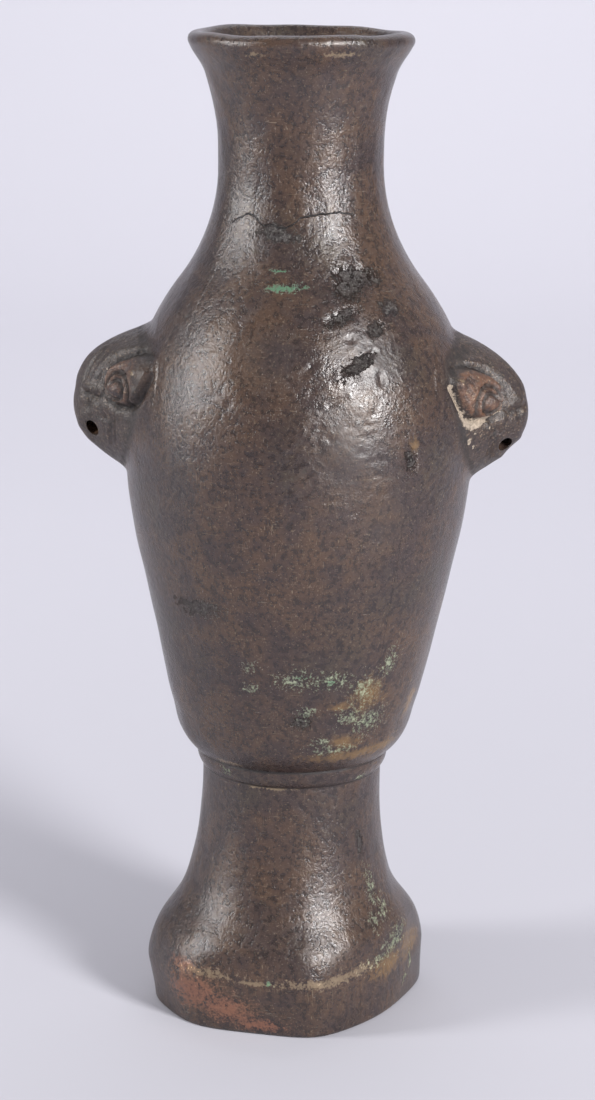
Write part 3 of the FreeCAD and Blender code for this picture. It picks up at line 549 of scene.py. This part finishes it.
def profile_rows():
    """Rows of the skin from the middle of the vessel's floor, up inside, over the lip, down
    outside, under the foot and up its hollow to the middle of its ceiling: kind, column thinning,
    radius, height. Radii of the outer rows are worked out later, because they change round the
    vase. A rim row's radius is how far it lies inside the foot's lowest outer row."""
    rows = []

    def add(kind, thin, radii, heights):
        radii, heights = np.broadcast_arrays(np.atleast_1d(radii), np.atleast_1d(heights))
        rows.extend((kind, thin, float(r), float(z)) for r, z in zip(radii, heights))

    add("inside", 4, np.array([2.3, 4.6, HEEL_ARC.centre]), VESSEL_FLOOR)
    turn = np.radians(np.linspace(-75.0, -14.0, 6))
    heel = HEEL_ARC.radius - WALL
    add("inside", 4, HEEL_ARC.centre + heel * np.cos(turn), HEEL_ARC.height + heel * np.sin(turn))
    heights = np.concatenate([np.linspace(47.0, 100.0, 15), np.linspace(103.0, 134.0, 14)])
    add("inside", 4, vessel_radius(heights, WALL), heights)
    heights = np.array([135.6, 137.0, 138.2])
    add("inside", 2, vessel_radius(heights, WALL), heights)
    turn = np.radians(np.linspace(150.5, -29.5, 14))
    round_lip = WALL / 2
    add("lip", 2, LIP_RADIUS - round_lip + round_lip * np.cos(turn),
        LIP_HEIGHT + round_lip * np.sin(turn))
    outer = [
        (2, np.linspace(137.9, 134.5, 9)),
        (2, np.linspace(133.2, 110.2, 17)),
        (2, np.linspace(109.4, 101.6, 19)),
        (1, np.linspace(101.2, 76.8, 70)),
        (2, np.linspace(75.6, 57.0, 13)),
        (2, np.linspace(56.2, 39.0, 29)),
        (2, [38.7, 38.5, 38.35, 38.22, 38.1, 38.0, 37.85, 37.65, 37.4, 37.0, 36.6, 36.2]),
        (2, [35.95, 35.75, 35.6, 35.45, 35.3, 35.1, 34.8, 34.4]),
        (2, np.linspace(33.4, 20.2, 12)),
        (2, np.linspace(19.4, 6.2, 29)),
        (2, np.linspace(5.6, 0.9, 8)),
        (2, [0.5, 0.25, 0.08]),
    ]
    for thin, heights in outer:
        add("outer", thin, 0.0, heights)
    add("rim", 2, [0.45, 1.2, 2.2], 0.0)
    add("under", 2, 14.7, 0.0)
    heights = np.array([0.25, 1.0, 3.0, 6.0, 9.5, 13.0, 16.5, 20.0, 24.0, 29.0, 33.2])
    spread = np.clip(1.0 - heights / RECESS_SPREAD_TOP, 0.0, 1.0) ** 2
    add("under", 4, RECESS_RADIUS + RECESS_SPREAD * spread, heights)
    turn = np.radians([30.0, 60.0, 90.0])
    add("under", 4, RECESS_RADIUS - RECESS_ROUNDING + RECESS_ROUNDING * np.cos(turn),
        RECESS_CEILING - RECESS_ROUNDING + RECESS_ROUNDING * np.sin(turn))
    add("under", 4, [6.0, 3.0], RECESS_CEILING)
    return rows


def column_turns(count):
    """Directions of the columns: packed closer over the two lugs than between them."""
    fine = np.linspace(-np.pi, np.pi, 7201)
    off = np.minimum(np.abs(fine), np.pi - np.abs(fine))
    density = 1.0 + 1.7 * step(math.radians(50.0), math.radians(38.0), off)
    along = np.concatenate([[0.0], np.cumsum(0.5 * (density[1:] + density[:-1]))])
    return np.interp(np.arange(count) / count * along[-1], along, fine)


def with_flaws(turn, z, vessel, radius):
    """The skin's radius with the casting flaws and ninety small dents in it, each a ragged, tilted
    ellipse with a low rim."""
    ragged = 0.45 * lumps(turn, z, 1.1, 9)
    draw = np.random.default_rng(11)
    dents = [
        (draw.uniform(-92.0, -58.0), draw.uniform(77.0, 97.0), draw.uniform(0.25, 0.8),
         draw.uniform(0.2, 0.45), draw.uniform(-75.0, 75.0), draw.uniform(0.06, 0.17))
        for _ in range(90)
    ]
    for *mark, depth in PITS + dents:
        if mark[1] < z.min() - 4.0 or mark[1] > z.max() + 4.0:
            continue
        across, up = across_mark(turn, z, vessel, *mark)
        inner = np.maximum(across ** 2 + up ** 2 + ragged, 0.0)
        rim = np.exp(-(inner - 1.8) ** 2 / 0.5)
        radius = radius - depth * np.exp(-inner ** 1.5) + 0.35 * depth * rim
    return radius


def outer_surface(turn, z, shape):
    """Radius of the outer skin, the painted shade in its creases and grooves, how much dirt lies on
    it, and how much of it is a mask (1) or a mask's ear (2). The skin is the larger of the vessel
    and the lugs, and below them of the collar and the stem, with the lip's bead, lumps and flaws on
    it."""
    vessel = vessel_radius(z, 0.0)
    radius = np.where(z > COLLAR_TOP, vessel, arc_radius(z, COLLAR_ARC, 0.0, 1))
    collar = np.where(z > COLLAR_FOOT, radius, 0.0)
    radius = np.where(z < STEM_TOP, np.maximum(stem_radius(turn, z), collar), radius)
    # Painted shade in the creases over and under the collar ring.
    hollow = bell(z, 38.0, 0.35) + 0.8 * bell(z, 35.5, 0.3)
    dirt, masked = np.zeros_like(z), np.zeros_like(z)

    inside = (z > LUG_FOOT) & (z < LUG_TOP)
    for mask in MASKS:
        off = mask.mirror * angle_from(turn, mask.facing)
        plain = lug_radius(off, z)
        relief, carved, earth, ear = mask_relief(off, z, plain, shape.relief / MM, mask)
        proud = plain - vessel
        over = step(-1.9, 0.3, proud) * inside
        radius = np.where(inside, smooth_max(radius, plain, 1.3) + relief * 1.2 * over, radius)
        shown = step(-0.6, 0.8, proud) * (1.0 + ear)
        masked = np.where(inside, np.maximum(masked, shown), masked)
        # Painted shade where the lug meets the body, less under the ear, and in the carved grooves.
        corner = (0.75 - 0.55 * ear) * bell(proud, 0.3, 0.7)
        hollow = np.where(inside, np.maximum(hollow, corner), hollow)
        hollow = np.where(inside, np.maximum(hollow, carved * over), hollow)
        dirt = np.where(inside, np.maximum(dirt, earth * over), dirt)

    # The lip's bead with a shallow groove under it, lumps that fade at the foot and the lip, and a
    # slight waist over the heel.
    bead = 0.28 * bell(z, 137.6, 1.3) - 0.10 * bell(z, 134.6, 1.1)
    radius = radius + bead
    calm = step(0.0, 3.0, z) * step(140.0, 136.0, z)
    lumpy = 0.12 * lumps(turn, z, 9.0, 3) + 0.045 * lumps(turn, z, 3.0, 5) - 0.03
    radius = radius + calm * lumpy
    radius = radius - 0.3 * bell(z, 44.0, 2.4)
    return with_flaws(turn, z, vessel, radius), hollow, dirt, masked


def crack_height(turn, z):
    """Height in mm over the crack, within its reach: the crack jumps up and down along its bends,
    and runs out at both ends."""
    azimuths, heights = zip(*CRACK)
    azimuth = np.degrees(turn)
    line = np.interp(azimuth, azimuths, heights)
    line = line + 0.16 * lumps(turn, 0.0, 1.2, 21) + 0.10 * lumps(turn, 0.0, 0.5, 22)
    past = np.maximum(azimuths[0] - azimuth, azimuth - azimuths[-1])
    near = np.clip(z - line, -CRACK_REACH, CRACK_REACH)
    return np.where(past > 0.0, CRACK_REACH, near)


def sway(z, shape):
    """Sideways place of the axis at height z: the casting bows, so its foot and its lip stand to
    the left of its lugs, in mm."""
    foot = shape.foot_lean / MM * np.clip(1.0 - z / 75.0, 0.0, 1.0) ** 1.3
    lip = 0.5 * np.clip((z - 100.0) / 40.0, 0.0, 1.0) ** 1.2
    return -foot - lip + 0.6 * step(FOOT_EDGE, 0.0, z)


def casting_skin(shape):
    """Vertices in mm, triangles and quads, and the surface values of the whole closed skin."""
    turns = column_turns(shape.columns // 4 * 4)
    points, places, rings = [], [], []
    start = 1
    for kind, thin, r, z in profile_rows():
        turn = turns[::thin]
        height = np.full_like(turn, z)
        hollow, dirt, mask = np.zeros((3, len(turn)))
        if kind in ("outer", "rim"):
            radius, hollow, dirt, mask = outer_surface(turn, height, shape)
            if kind == "rim":
                radius = radius - r
            elif z < 0.6:
                radius = radius - 0.35 * (1.0 - math.sqrt(max(0.0, 1.0 - (1.0 - z / 0.6) ** 2)))
        else:
            radius = np.full_like(turn, r)
            if kind == "lip":
                radius = radius + 0.28 * step(14.0, 15.2, radius)
        # The lip's crest rises and falls, and its plan is a little out of round.
        top = step(128.0, 139.0, height)
        wave = np.sin(2 * turn + 0.6) + 0.7 * np.sin(5 * turn - 1.1) + 0.5 * np.sin(9 * turn + 2.0)
        height = height - shape.lip_wave / MM * top * (0.5 + 0.5 * (wave / 2.2))
        if kind != "under":
            radius = radius + 0.12 * top * np.sin(3 * turn + 0.4)
        shift = sway(height, shape)
        points.append(
            np.stack([radius * np.cos(turn) + shift, radius * np.sin(turn), height], axis=1))
        outside = np.full_like(turn, kind == "outer")
        places.append(
            np.stack([turn, np.full_like(turn, z), radius, outside, hollow, dirt, mask]))
        rings.append(np.arange(start, start + len(turn)))
        start += len(turn)
    floor, ceiling = (
        np.array([[sway(np.array(z), shape), 0.0, z]]) for z in (VESSEL_FLOOR, RECESS_CEILING))
    points = np.concatenate([floor] + points + [ceiling])
    low, high = (np.array(corner) / MM for corner in CAD_BOX)
    points = np.clip(points, low, high)

    blank = np.zeros((7, 1))
    places = np.concatenate([blank] + places + [blank], axis=1)
    turn, z, radius, outside, hollow, dirt, mask = places
    values = {"hollow": hollow, "dirt": dirt, "mask": mask}
    for name, marks in PATCHES.items():
        values[name] = np.where(outside > 0.5, patch_depth(turn, z, radius, marks), -1.0)
    values["crack"] = np.where(outside > 0.5, crack_height(turn, z), CRACK_REACH)
    return points, *skin_faces(rings), values


def skin_faces(rings):
    """Triangles and quads from row to row. Point 0 closes the first row and the point after the
    last row closes that one. Where a row has half as many points as the next, three triangles make
    up one of its steps."""
    triangles, quads = [], []
    first, last = rings[0], rings[-1]
    triangles.append(np.stack([np.zeros_like(first), np.roll(first, -1), first], axis=1))
    for a, b in zip(rings[:-1], rings[1:]):
        if len(a) == len(b):
            quads.append(np.stack([a, np.roll(a, -1), np.roll(b, -1), b], axis=1))
            continue
        fine, coarse = (a, b) if len(a) > len(b) else (b, a)
        f0, f1, f2 = fine[::2], fine[1::2], np.roll(fine[::2], -1)
        c0, c1 = coarse, np.roll(coarse, -1)
        for corners in ((f0, f1, c0), (f1, c1, c0), (f1, f2, c1)):
            triangles.append(np.stack(corners if fine is a else corners[::-1], axis=1))
    end = np.full_like(last, last[-1] + 1)
    triangles.append(np.stack([last, np.roll(last, -1), end], axis=1))
    return np.concatenate(triangles), np.concatenate(quads)


def closed_mesh(name, points, triangles, quads, values):
    """A Blender mesh in metres from points in mm, three- and four-cornered faces and surface
    values, its faces turned outwards by the sign of the volume they enclose."""
    corners = np.concatenate([triangles, quads[:, [0, 1, 2]], quads[:, [0, 2, 3]]])
    a, b, c = (points[corners[:, k]] for k in range(3))
    if np.einsum("ij,ij->i", a, np.cross(b, c)).sum() < 0:
        triangles, quads = triangles[:, ::-1], quads[:, ::-1]
    mesh = bpy.data.meshes.new(name)
    mesh.vertices.add(len(points))
    mesh.vertices.foreach_set("co", (points * MM).astype(np.float32).ravel())
    loops = np.concatenate([triangles.ravel(), quads.ravel()]).astype(np.int32)
    totals = np.concatenate([np.full(len(triangles), 3), np.full(len(quads), 4)]).astype(np.int32)
    mesh.loops.add(len(loops))
    mesh.loops.foreach_set("vertex_index", loops)
    mesh.polygons.add(len(totals))
    starts = np.concatenate([[0], np.cumsum(totals)[:-1]])
    mesh.polygons.foreach_set("loop_start", starts.astype(np.int32))
    mesh.polygons.foreach_set("use_smooth", np.ones(len(totals), dtype=bool))
    for key, value in values.items():
        layer = mesh.attributes.new(key, "FLOAT", "POINT")
        layer.data.foreach_set("value", value.astype(np.float32))
    mesh.update(calc_edges=True)
    if mesh.validate():
        raise RuntimeError(name + ": the skin has a bad face")
    return mesh


def drill(name, start, end, radius):
    """A bar from start to end, in mm, that cuts half of a ring hole: ovals along its length, a
    quarter taller than wide because the ring has worn the hole, closed by two fans."""
    start, end = np.array(start), np.array(end)
    way = (end - start) / np.linalg.norm(end - start)
    across = np.cross(way, (0.0, 0.0, 1.0))
    across /= np.linalg.norm(across)
    upright = np.cross(across, way)
    turn = np.linspace(0.0, 2 * np.pi, 40, endpoint=False)
    oval = np.cos(turn)[:, None] * across + 1.25 * np.sin(turn)[:, None] * upright
    circle = radius * oval
    rings = [start + share * (end - start) + circle for share in np.linspace(0.0, 1.0, 9)]
    points = np.concatenate(rings + [[start, end]])
    index = np.arange(len(rings) * len(turn)).reshape(len(rings), len(turn))
    a, b = index[:-1], index[1:]
    quads = np.stack([a, np.roll(a, -1, axis=1), np.roll(b, -1, axis=1), b], axis=-1).reshape(-1, 4)
    low, high = index[0], index[-1]
    triangles = np.concatenate([
        np.stack([np.full_like(low, len(points) - 2), np.roll(low, -1), low], axis=1),
        np.stack([high, np.roll(high, -1), np.full_like(high, len(points) - 1)], axis=1),
    ])
    # The ring holes' walls take the full painted shade and none of the patches.
    worn = {"hollow": 1.0, "dirt": 0.0, "mask": 0.0, "crack": CRACK_REACH}
    worn.update({patch: -1.0 for patch in PATCHES})
    values = {key: np.full(len(points), value) for key, value in worn.items()}
    return closed_mesh(name, points, triangles, quads, values)


class Signal:
    """A value socket. Python's operators on it add the Math nodes that work it out."""

    def __init__(self, shader, socket):
        self.shader, self.socket = shader, socket

    def math(self, operation, *others):
        node = self.shader.node("ShaderNodeMath", {"operation": operation}, [self, *others])
        return Signal(self.shader, node.outputs[0])

    def __add__(self, other):
        return self.math("ADD", other)

    def __sub__(self, other):
        return self.math("SUBTRACT", other)

    def __mul__(self, other):
        return self.math("MULTIPLY", other)

    def __rsub__(self, other):
        return self * -1.0 + other

    __radd__ = __add__

    def larger(self, other):
        return self.math("MAXIMUM", other)

    def smaller(self, other):
        return self.math("MINIMUM", other)

    def above(self, low, high):
        """0 below low, 1 above high, eased between; high below low turns it round."""
        node = self.shader.node(
            "ShaderNodeMapRange", {"interpolation_type": "SMOOTHSTEP"},
            {"Value": self, "From Min": low, "From Max": high, "To Min": 0.0, "To Max": 1.0})
        return Signal(self.shader, node.outputs["Result"])


class Shader:
    """A material's node tree, with one method that adds any node."""

    def __init__(self, name):
        self.material = bpy.data.materials.new(name)
        self.material.use_nodes = True
        self.tree = self.material.node_tree
        self.tree.nodes.clear()

    def node(self, kind, settings=None, inputs=None):
        """A node of that kind: its settings first, then the values or links of its sockets."""
        node = self.tree.nodes.new(kind)
        for key, value in (settings or {}).items():
            setattr(node, key, value)
        pairs = enumerate(inputs) if isinstance(inputs, (list, tuple)) else (inputs or {}).items()
        for key, value in pairs:
            socket = node.inputs[key]
            if isinstance(value, Signal):
                self.tree.links.new(value.socket, socket)
            elif isinstance(value, bpy.types.NodeSocket):
                self.tree.links.new(value, socket)
            else:
                socket.default_value = value
        return node

    def value(self, kind, output, settings=None, inputs=None):
        return Signal(self, self.node(kind, settings, inputs).outputs[output])

    def mix(self, factor, first, second):
        """Colour first where the factor is 0 and second where it is 1."""
        def colour(c):
            return c if isinstance(c, bpy.types.NodeSocket) else (*c, 1.0)
        node = self.node("ShaderNodeMix", {"data_type": "RGBA"},
                         {0: factor, 6: colour(first), 7: colour(second)})
        return node.outputs[2]

    def noise(self, place, size, detail, roughness, offset, stretch=(1.0, 1.0, 1.0), turn=0.0):
        """Noise with features about size mm across, stretched by the three factors after a turn."""
        mapped = self.node(
            "ShaderNodeMapping", {"vector_type": "POINT"},
            {"Vector": place, "Location": (offset, offset * 0.37, offset * 0.71),
             "Rotation": (0.0, math.radians(turn), 0.0),
             "Scale": tuple(1.0 / (MM * size * s) for s in stretch)})
        return self.value("ShaderNodeTexNoise", "Fac", {"noise_dimensions": "3D"},
                          {"Vector": mapped.outputs[0], "Scale": 1.0, "Detail": detail,
                           "Roughness": roughness})

    def surface(self, inputs):
        """The finished material: a Principled surface with these inputs."""
        principled = self.node("ShaderNodeBsdfPrincipled", None, inputs)
        self.node("ShaderNodeOutputMaterial", None, {"Surface": principled.outputs[0]})
        return self.material


def bronze_material(finish):
    """Dark bronze patina: brown and olive mottling, grain, scratches, worn edges with painted
    glints, painted shade in creases, grooves and holes, and verdigris, ochre, copper red and dried
    earth where the skin's own layers place them."""
    shader = Shader("patinated_bronze_skin")
    place = shader.node("ShaderNodeTexCoord").outputs["Object"]
    layer = {name: shader.value("ShaderNodeAttribute", "Fac", {"attribute_name": name})
             for name in ["hollow", "dirt", "mask", "crack", *PATCHES]}

    def shade(share):
        return tuple(share * c for c in finish.dark)

    broad = shader.noise(place, 15.0, 3.0, 0.6, 3.1)
    mid = shader.noise(place, 4.0, 4.0, 0.62, 7.7)
    fine = shader.noise(place, 0.85, 4.0, 0.68, 1.3)
    grain = shader.noise(place, 0.30, 2.0, 0.6, 9.2)
    brushed = shader.noise(place, 0.16, 2.0, 0.6, 2.2, stretch=(1.0, 1.0, 26.0), turn=-38.0)
    combed = shader.noise(place, 0.14, 2.0, 0.6, 5.2, stretch=(24.0, 24.0, 1.0), turn=9.0)
    ragged = (mid - 0.5) * 1.1 + (fine - 0.5) * 1.8
    speckled = (fine - 0.5) * 3.0 + (grain - 0.5) * 2.4

    smudge = (layer["smudge"] + ragged * 1.6 + speckled * 0.3 + 0.05).above(0.0, 0.5)
    green = (layer["verdigris"] * 0.75 + speckled * 1.1 - 0.25).above(0.0, 0.6)
    white = (layer["verdigris"] * 0.6 + speckled * 1.1 - 0.6).above(0.0, 0.4)
    malachite = (layer["malachite"] * 1.1 + speckled - 0.15).above(0.0, 0.7)
    ochre = (layer["ochre"] * 0.9 + ragged * 0.8).above(0.0, 0.8)
    copper = (layer["copper"] + speckled * 0.7 - 0.05).above(0.0, 0.9)
    # Worn bare metal, partly painted highlight, with painted glints on the lip and the ear tips.
    rubbed = (layer["rubbed"] + speckled * 0.9 - 0.1).above(0.0, 0.9)
    warm = (layer["warm"] + ragged * 0.8).above(0.0, 1.0)
    battered = (layer["battered"] * 1.2 + ragged * 0.6).above(0.0, 0.9)
    # Painted shade: the creases, carved grooves, lug junctions and ring holes are coloured darker
    # in place of their shade.
    painted_shade = (layer["hollow"] + (fine - 0.5) * 0.9).above(0.25, 0.95)
    earth = (layer["dirt"] * 1.2 + speckled * 0.35).above(0.42, 0.72)
    scratch = brushed.above(0.64, 0.72) + combed.above(0.66, 0.74)
    scratch = scratch * (broad + mid - 0.55).above(0.35, 0.6)
    carved = layer["mask"].smaller(1.0)
    leaf = ((layer["mask"] - 1.0) * 1.2 + (fine - 0.5) * 1.2).above(0.2, 0.75)
    blotch = carved * (1.0 - leaf * 0.8) * (mid * 0.5 + fine * 0.7).above(0.57, 0.63)
    blotch = blotch + battered * fine.above(0.50, 0.66) * 0.6
    off = layer["crack"] + (fine - 0.5) * 0.45
    crack = off.math("ABSOLUTE").above(0.15, 0.03) * (mid * 1.3 + fine - 0.75).above(0.0, 0.4)

    # Coats from the metal up: how much each one covers, and its colour. Two of them are painted
    # light: shade in the hollows, and glints on the lip and the ear tips.
    coats = [
        ((mid * 0.6 + broad * 0.6).above(0.48, 0.78), finish.brown),
        (((broad - 0.5) * -2.0 + fine - 0.5).above(0.05, 0.6) * 0.55, finish.olive),
        (warm * 0.45, finish.brown),
        (carved * (mid + grain * 0.3).above(0.60, 0.72) * 0.7, MASK_GRIME),
        (leaf * mid.above(0.30, 0.58) * 0.7, EAR_RED),
        (blotch.smaller(1.0) * 0.8, shade(0.3)),
        (fine.above(0.54, 0.38) * 0.65, shade(0.3)),
        (grain.above(0.58, 0.74) * (carved * 0.22 + 0.13), finish.raised),
        (scratch * 0.2, finish.raised),
        (smudge * 0.7, shade(0.3)),
        (smudge * grain.above(0.52, 0.66) * 0.4, FLAW_SCALE),
        (ochre * 0.42, finish.ochre),
        (copper * 0.62, finish.copper),
        # Bare metal on the worn edges, and painted glints on the lip and the ear tips.
        (rubbed * 0.5, finish.raised),
        (green * 0.5, finish.verdigris),
        (white * 0.35, PALE_BLOOM),
        (malachite * 0.6, finish.malachite),
        # Painted shade in the hollows.
        (painted_shade * 0.8, shade(0.22)),
        (earth * (fine * 1.6 + grain * 1.2 - 0.6).smaller(1.0).larger(0.2), finish.dirt),
        (crack * 0.92, shade(0.1)),
    ]
    colour = shade(1.0)
    for cover, coat in coats:
        colour = shader.mix(cover, colour, tuple(coat))

    crust = green.larger(malachite).larger(earth).smaller(1.0)
    metallic = (1.0 - crust) * (rubbed * 0.55 + copper * 0.3 + 0.12)
    roughness = (0.14 + fine * 0.19 + crust * 0.35 + painted_shade * 0.2 + smudge * 0.2
                 + battered * 0.15 + carved * fine * 0.36 - rubbed * 0.04)
    height = (grain * 0.07 + fine * (carved * 0.10 + 0.13) + mid * 0.18 - scratch * 0.04
              - crack * 0.2 + off.above(-0.1, 0.1) * 0.04 + crust * 0.06 + earth * fine * 0.2
              - (smudge * 1.5 + battered * 0.4) * (fine * 0.35 + grain * 0.16)
              - rubbed * grain * 0.05)
    bump = shader.node("ShaderNodeBump", None,
                       {"Strength": 1.0, "Distance": MM, "Height": height})
    return shader.surface({
        "Base Color": colour, "Metallic": metallic, "Roughness": roughness,
        "Specular IOR Level": 0.8, "Normal": bump.outputs[0]})


def bored(vase, radius, context):
    """The vase's mesh with both ring holes cut. Each hole is two halves that slant in from either
    cheek and meet in the middle of the muzzle."""
    cutters = []
    for mask in MASKS:
        for word, face in (("front", -1), ("back", 1)):
            name = "drill_" + mask.name + "_" + word
            mouth = (mask.mirror * DRILL_MOUTH[0], face * DRILL_MOUTH[1], mask.drill)
            along, past, higher = DRILL_END
            end = (mask.mirror * along, -face * past, mask.drill + higher)
            bar = bpy.data.objects.new(name, drill(name, mouth, end, radius))
            context.scene.collection.objects.link(bar)
            cut = vase.modifiers.new(name, "BOOLEAN")
            cut.operation, cut.solver, cut.object = "DIFFERENCE", "EXACT", bar
            cutters.append(bar)
    mesh = bpy.data.meshes.new_from_object(vase.evaluated_get(context.evaluated_depsgraph_get()))
    vase.modifiers.clear()
    for bar in cutters:
        spent = bar.data
        bpy.data.objects.remove(bar)
        bpy.data.meshes.remove(spent)
    return mesh


class VASE_OT_cast(bpy.types.Operator):
    """Cast the vase: one closed bronze skin with its two mask lugs and their ring holes"""

    bl_idname = "vase.cast"
    bl_label = "Cast the vase"

    def execute(self, context):
        shape, finish = context.scene.vase_shape, context.scene.vase_finish
        blank = closed_mesh("bronze_casting", *casting_skin(shape))
        vase = bpy.data.objects.new("bronze_casting", blank)
        context.scene.collection.objects.link(vase)
        mesh = bored(vase, shape.hole_radius / MM, context)
        mesh.name = "bronze_casting_bored"
        vase.data = mesh
        bpy.data.meshes.remove(blank)
        mesh.set_sharp_from_angle(angle=math.radians(50.0))
        mesh.materials.clear()
        mesh.materials.append(bronze_material(finish))
        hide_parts("cast_vase")
        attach(vase, "root")
        return {"FINISHED"}


def paper_material(colour):
    """Matt paper with painted shade: its colour is a little darker towards the lens."""
    shader = Shader("pale_paper")
    place = shader.node("ShaderNodeTexCoord").outputs["Object"]
    depth = shader.value("ShaderNodeSeparateXYZ", "Y", None, {"Vector": place})
    near = tuple(NEAR_SHADE * c for c in colour)
    shown = shader.mix(depth.above(-0.08, 0.30), near, tuple(colour))
    return shader.surface({"Base Color": shown, "Roughness": 0.9})


def paper_sweep(colour):
    """Paper that lies flat under the vase and bends up behind it."""
    rows, columns = 61, 9
    arc = np.pi / 2 * SWEEP_BEND
    way = np.linspace(0.0, 1.0, rows) * (SWEEP_FLAT + arc + SWEEP_RISE)
    turn = np.clip((way - SWEEP_FLAT) / SWEEP_BEND, 0.0, np.pi / 2)
    y = np.minimum(way, SWEEP_FLAT) + SWEEP_FRONT + SWEEP_BEND * np.sin(turn)
    z = SWEEP_BEND * (1.0 - np.cos(turn)) + np.maximum(way - SWEEP_FLAT - arc, 0.0)
    x = np.linspace(-SWEEP_HALF_WIDTH, SWEEP_HALF_WIDTH, columns)
    points = np.stack(np.broadcast_arrays(x, y[:, None], z[:, None]), axis=-1).reshape(-1, 3)
    index = np.arange(rows * columns).reshape(rows, columns)
    corners = [index[:-1, :-1], index[:-1, 1:], index[1:, 1:], index[1:, :-1]]
    faces = np.stack(corners, axis=-1).reshape(-1, 4)
    mesh = bpy.data.meshes.new("paper_sweep")
    mesh.from_pydata(points.tolist(), [], faces.tolist())
    mesh.polygons.foreach_set("use_smooth", np.ones(len(faces), dtype=bool))
    mesh.materials.append(paper_material(colour))
    return bpy.data.objects.new("paper_sweep", mesh)


def softbox(name, place, aim, width, height, power):
    """A flat lamp at one place, turned to face another."""
    lamp = bpy.data.lights.new(name, "AREA")
    lamp.shape, lamp.size, lamp.size_y, lamp.energy = "RECTANGLE", width, height, power
    box = bpy.data.objects.new(name, lamp)
    look = (Vector(aim) - Vector(place)).to_track_quat("-Z", "Y")
    box.matrix_world = Matrix.Translation(place) @ look.to_matrix().to_4x4()
    return box


def fitted_camera():
    """The camera that took the photo."""
    shot = bpy.data.cameras.new("photograph_view")
    shot.sensor_fit, shot.sensor_height = "VERTICAL", SENSOR_HEIGHT
    shot.lens = LENS_PIXELS / FRAME_PIXELS * SENSOR_HEIGHT
    shot.clip_start, shot.clip_end = 0.01, 20.0
    camera = bpy.data.objects.new("photograph_view", shot)
    pitch, yaw, roll = (math.radians(angle) for angle in (PITCH, YAW, ROLL))
    ahead = Vector((math.sin(yaw) * math.cos(pitch), math.cos(yaw) * math.cos(pitch),
                    -math.sin(pitch)))
    level = Vector((math.cos(yaw), -math.sin(yaw), 0.0))
    upright = level.cross(ahead)
    right = math.cos(roll) * level + math.sin(roll) * upright
    up = math.cos(roll) * upright - math.sin(roll) * level
    axes = Matrix((right, up, -ahead)).transposed().to_4x4()
    walk = Matrix.Rotation(math.radians(CAMERA_ROUND), 4, "Z")
    camera.matrix_world = walk @ Matrix.Translation(CAMERA_PLACE) @ axes
    return camera


class VASE_OT_stage(bpy.types.Operator):
    """Set the pale paper sweep, the softboxes, the room light and the camera"""

    bl_idname = "vase.stage"
    bl_label = "Set the studio"

    def execute(self, context):
        scene = context.scene
        stage = scene.vase_stage
        scene.view_settings.view_transform = "Standard"
        paper = paper_sweep(stage.paper)
        scene.collection.objects.link(paper)

        world = bpy.data.worlds.new("studio_room")
        world.use_nodes = True
        back = world.node_tree.nodes["Background"]
        back.inputs["Color"].default_value = ROOM_COLOUR
        back.inputs["Strength"].default_value = stage.world
        scene.world = world
        for name, power, *lamp in SOFTBOXES:
            scene.collection.objects.link(softbox(name, *lamp, getattr(stage, power)))
        scene.camera = fitted_camera()
        scene.collection.objects.link(scene.camera)
        return {"FINISHED"}


class VASE_PT_sidebar(bpy.types.Panel):
    """Sizes, colours and steps of the vase"""

    bl_idname = "VASE_PT_sidebar"
    bl_label = "Cast bronze vase"
    bl_space_type = "VIEW_3D"
    bl_region_type = "UI"
    bl_category = "Vase"

    def draw(self, context):
        for operator, groups in (("vase.cast", ("vase_shape", "vase_finish")),
                                 ("vase.stage", ("vase_stage",))):
            box = self.layout.box()
            for group in groups:
                settings = getattr(context.scene, group)
                for name in settings.bl_rna.properties.keys():
                    if name not in ("rna_type", "name"):
                        box.prop(settings, name)
            box.operator(operator)


GROUPS = {"vase_shape": VaseShape, "vase_finish": BronzeFinish, "vase_stage": StudioStage}
CLASSES = (*GROUPS.values(), VASE_OT_cast, VASE_OT_stage, VASE_PT_sidebar)


def register():
    for item in CLASSES:
        bpy.utils.register_class(item)
    for name, group in GROUPS.items():
        setattr(bpy.types.Scene, name, bpy.props.PointerProperty(type=group))


def unregister():
    for name in GROUPS:
        delattr(bpy.types.Scene, name)
    for item in reversed(CLASSES):
        bpy.utils.unregister_class(item)


def main():
    register()
    bpy.ops.vase.cast()
    bpy.ops.vase.stage()


if __name__ == "__main__":
    main()
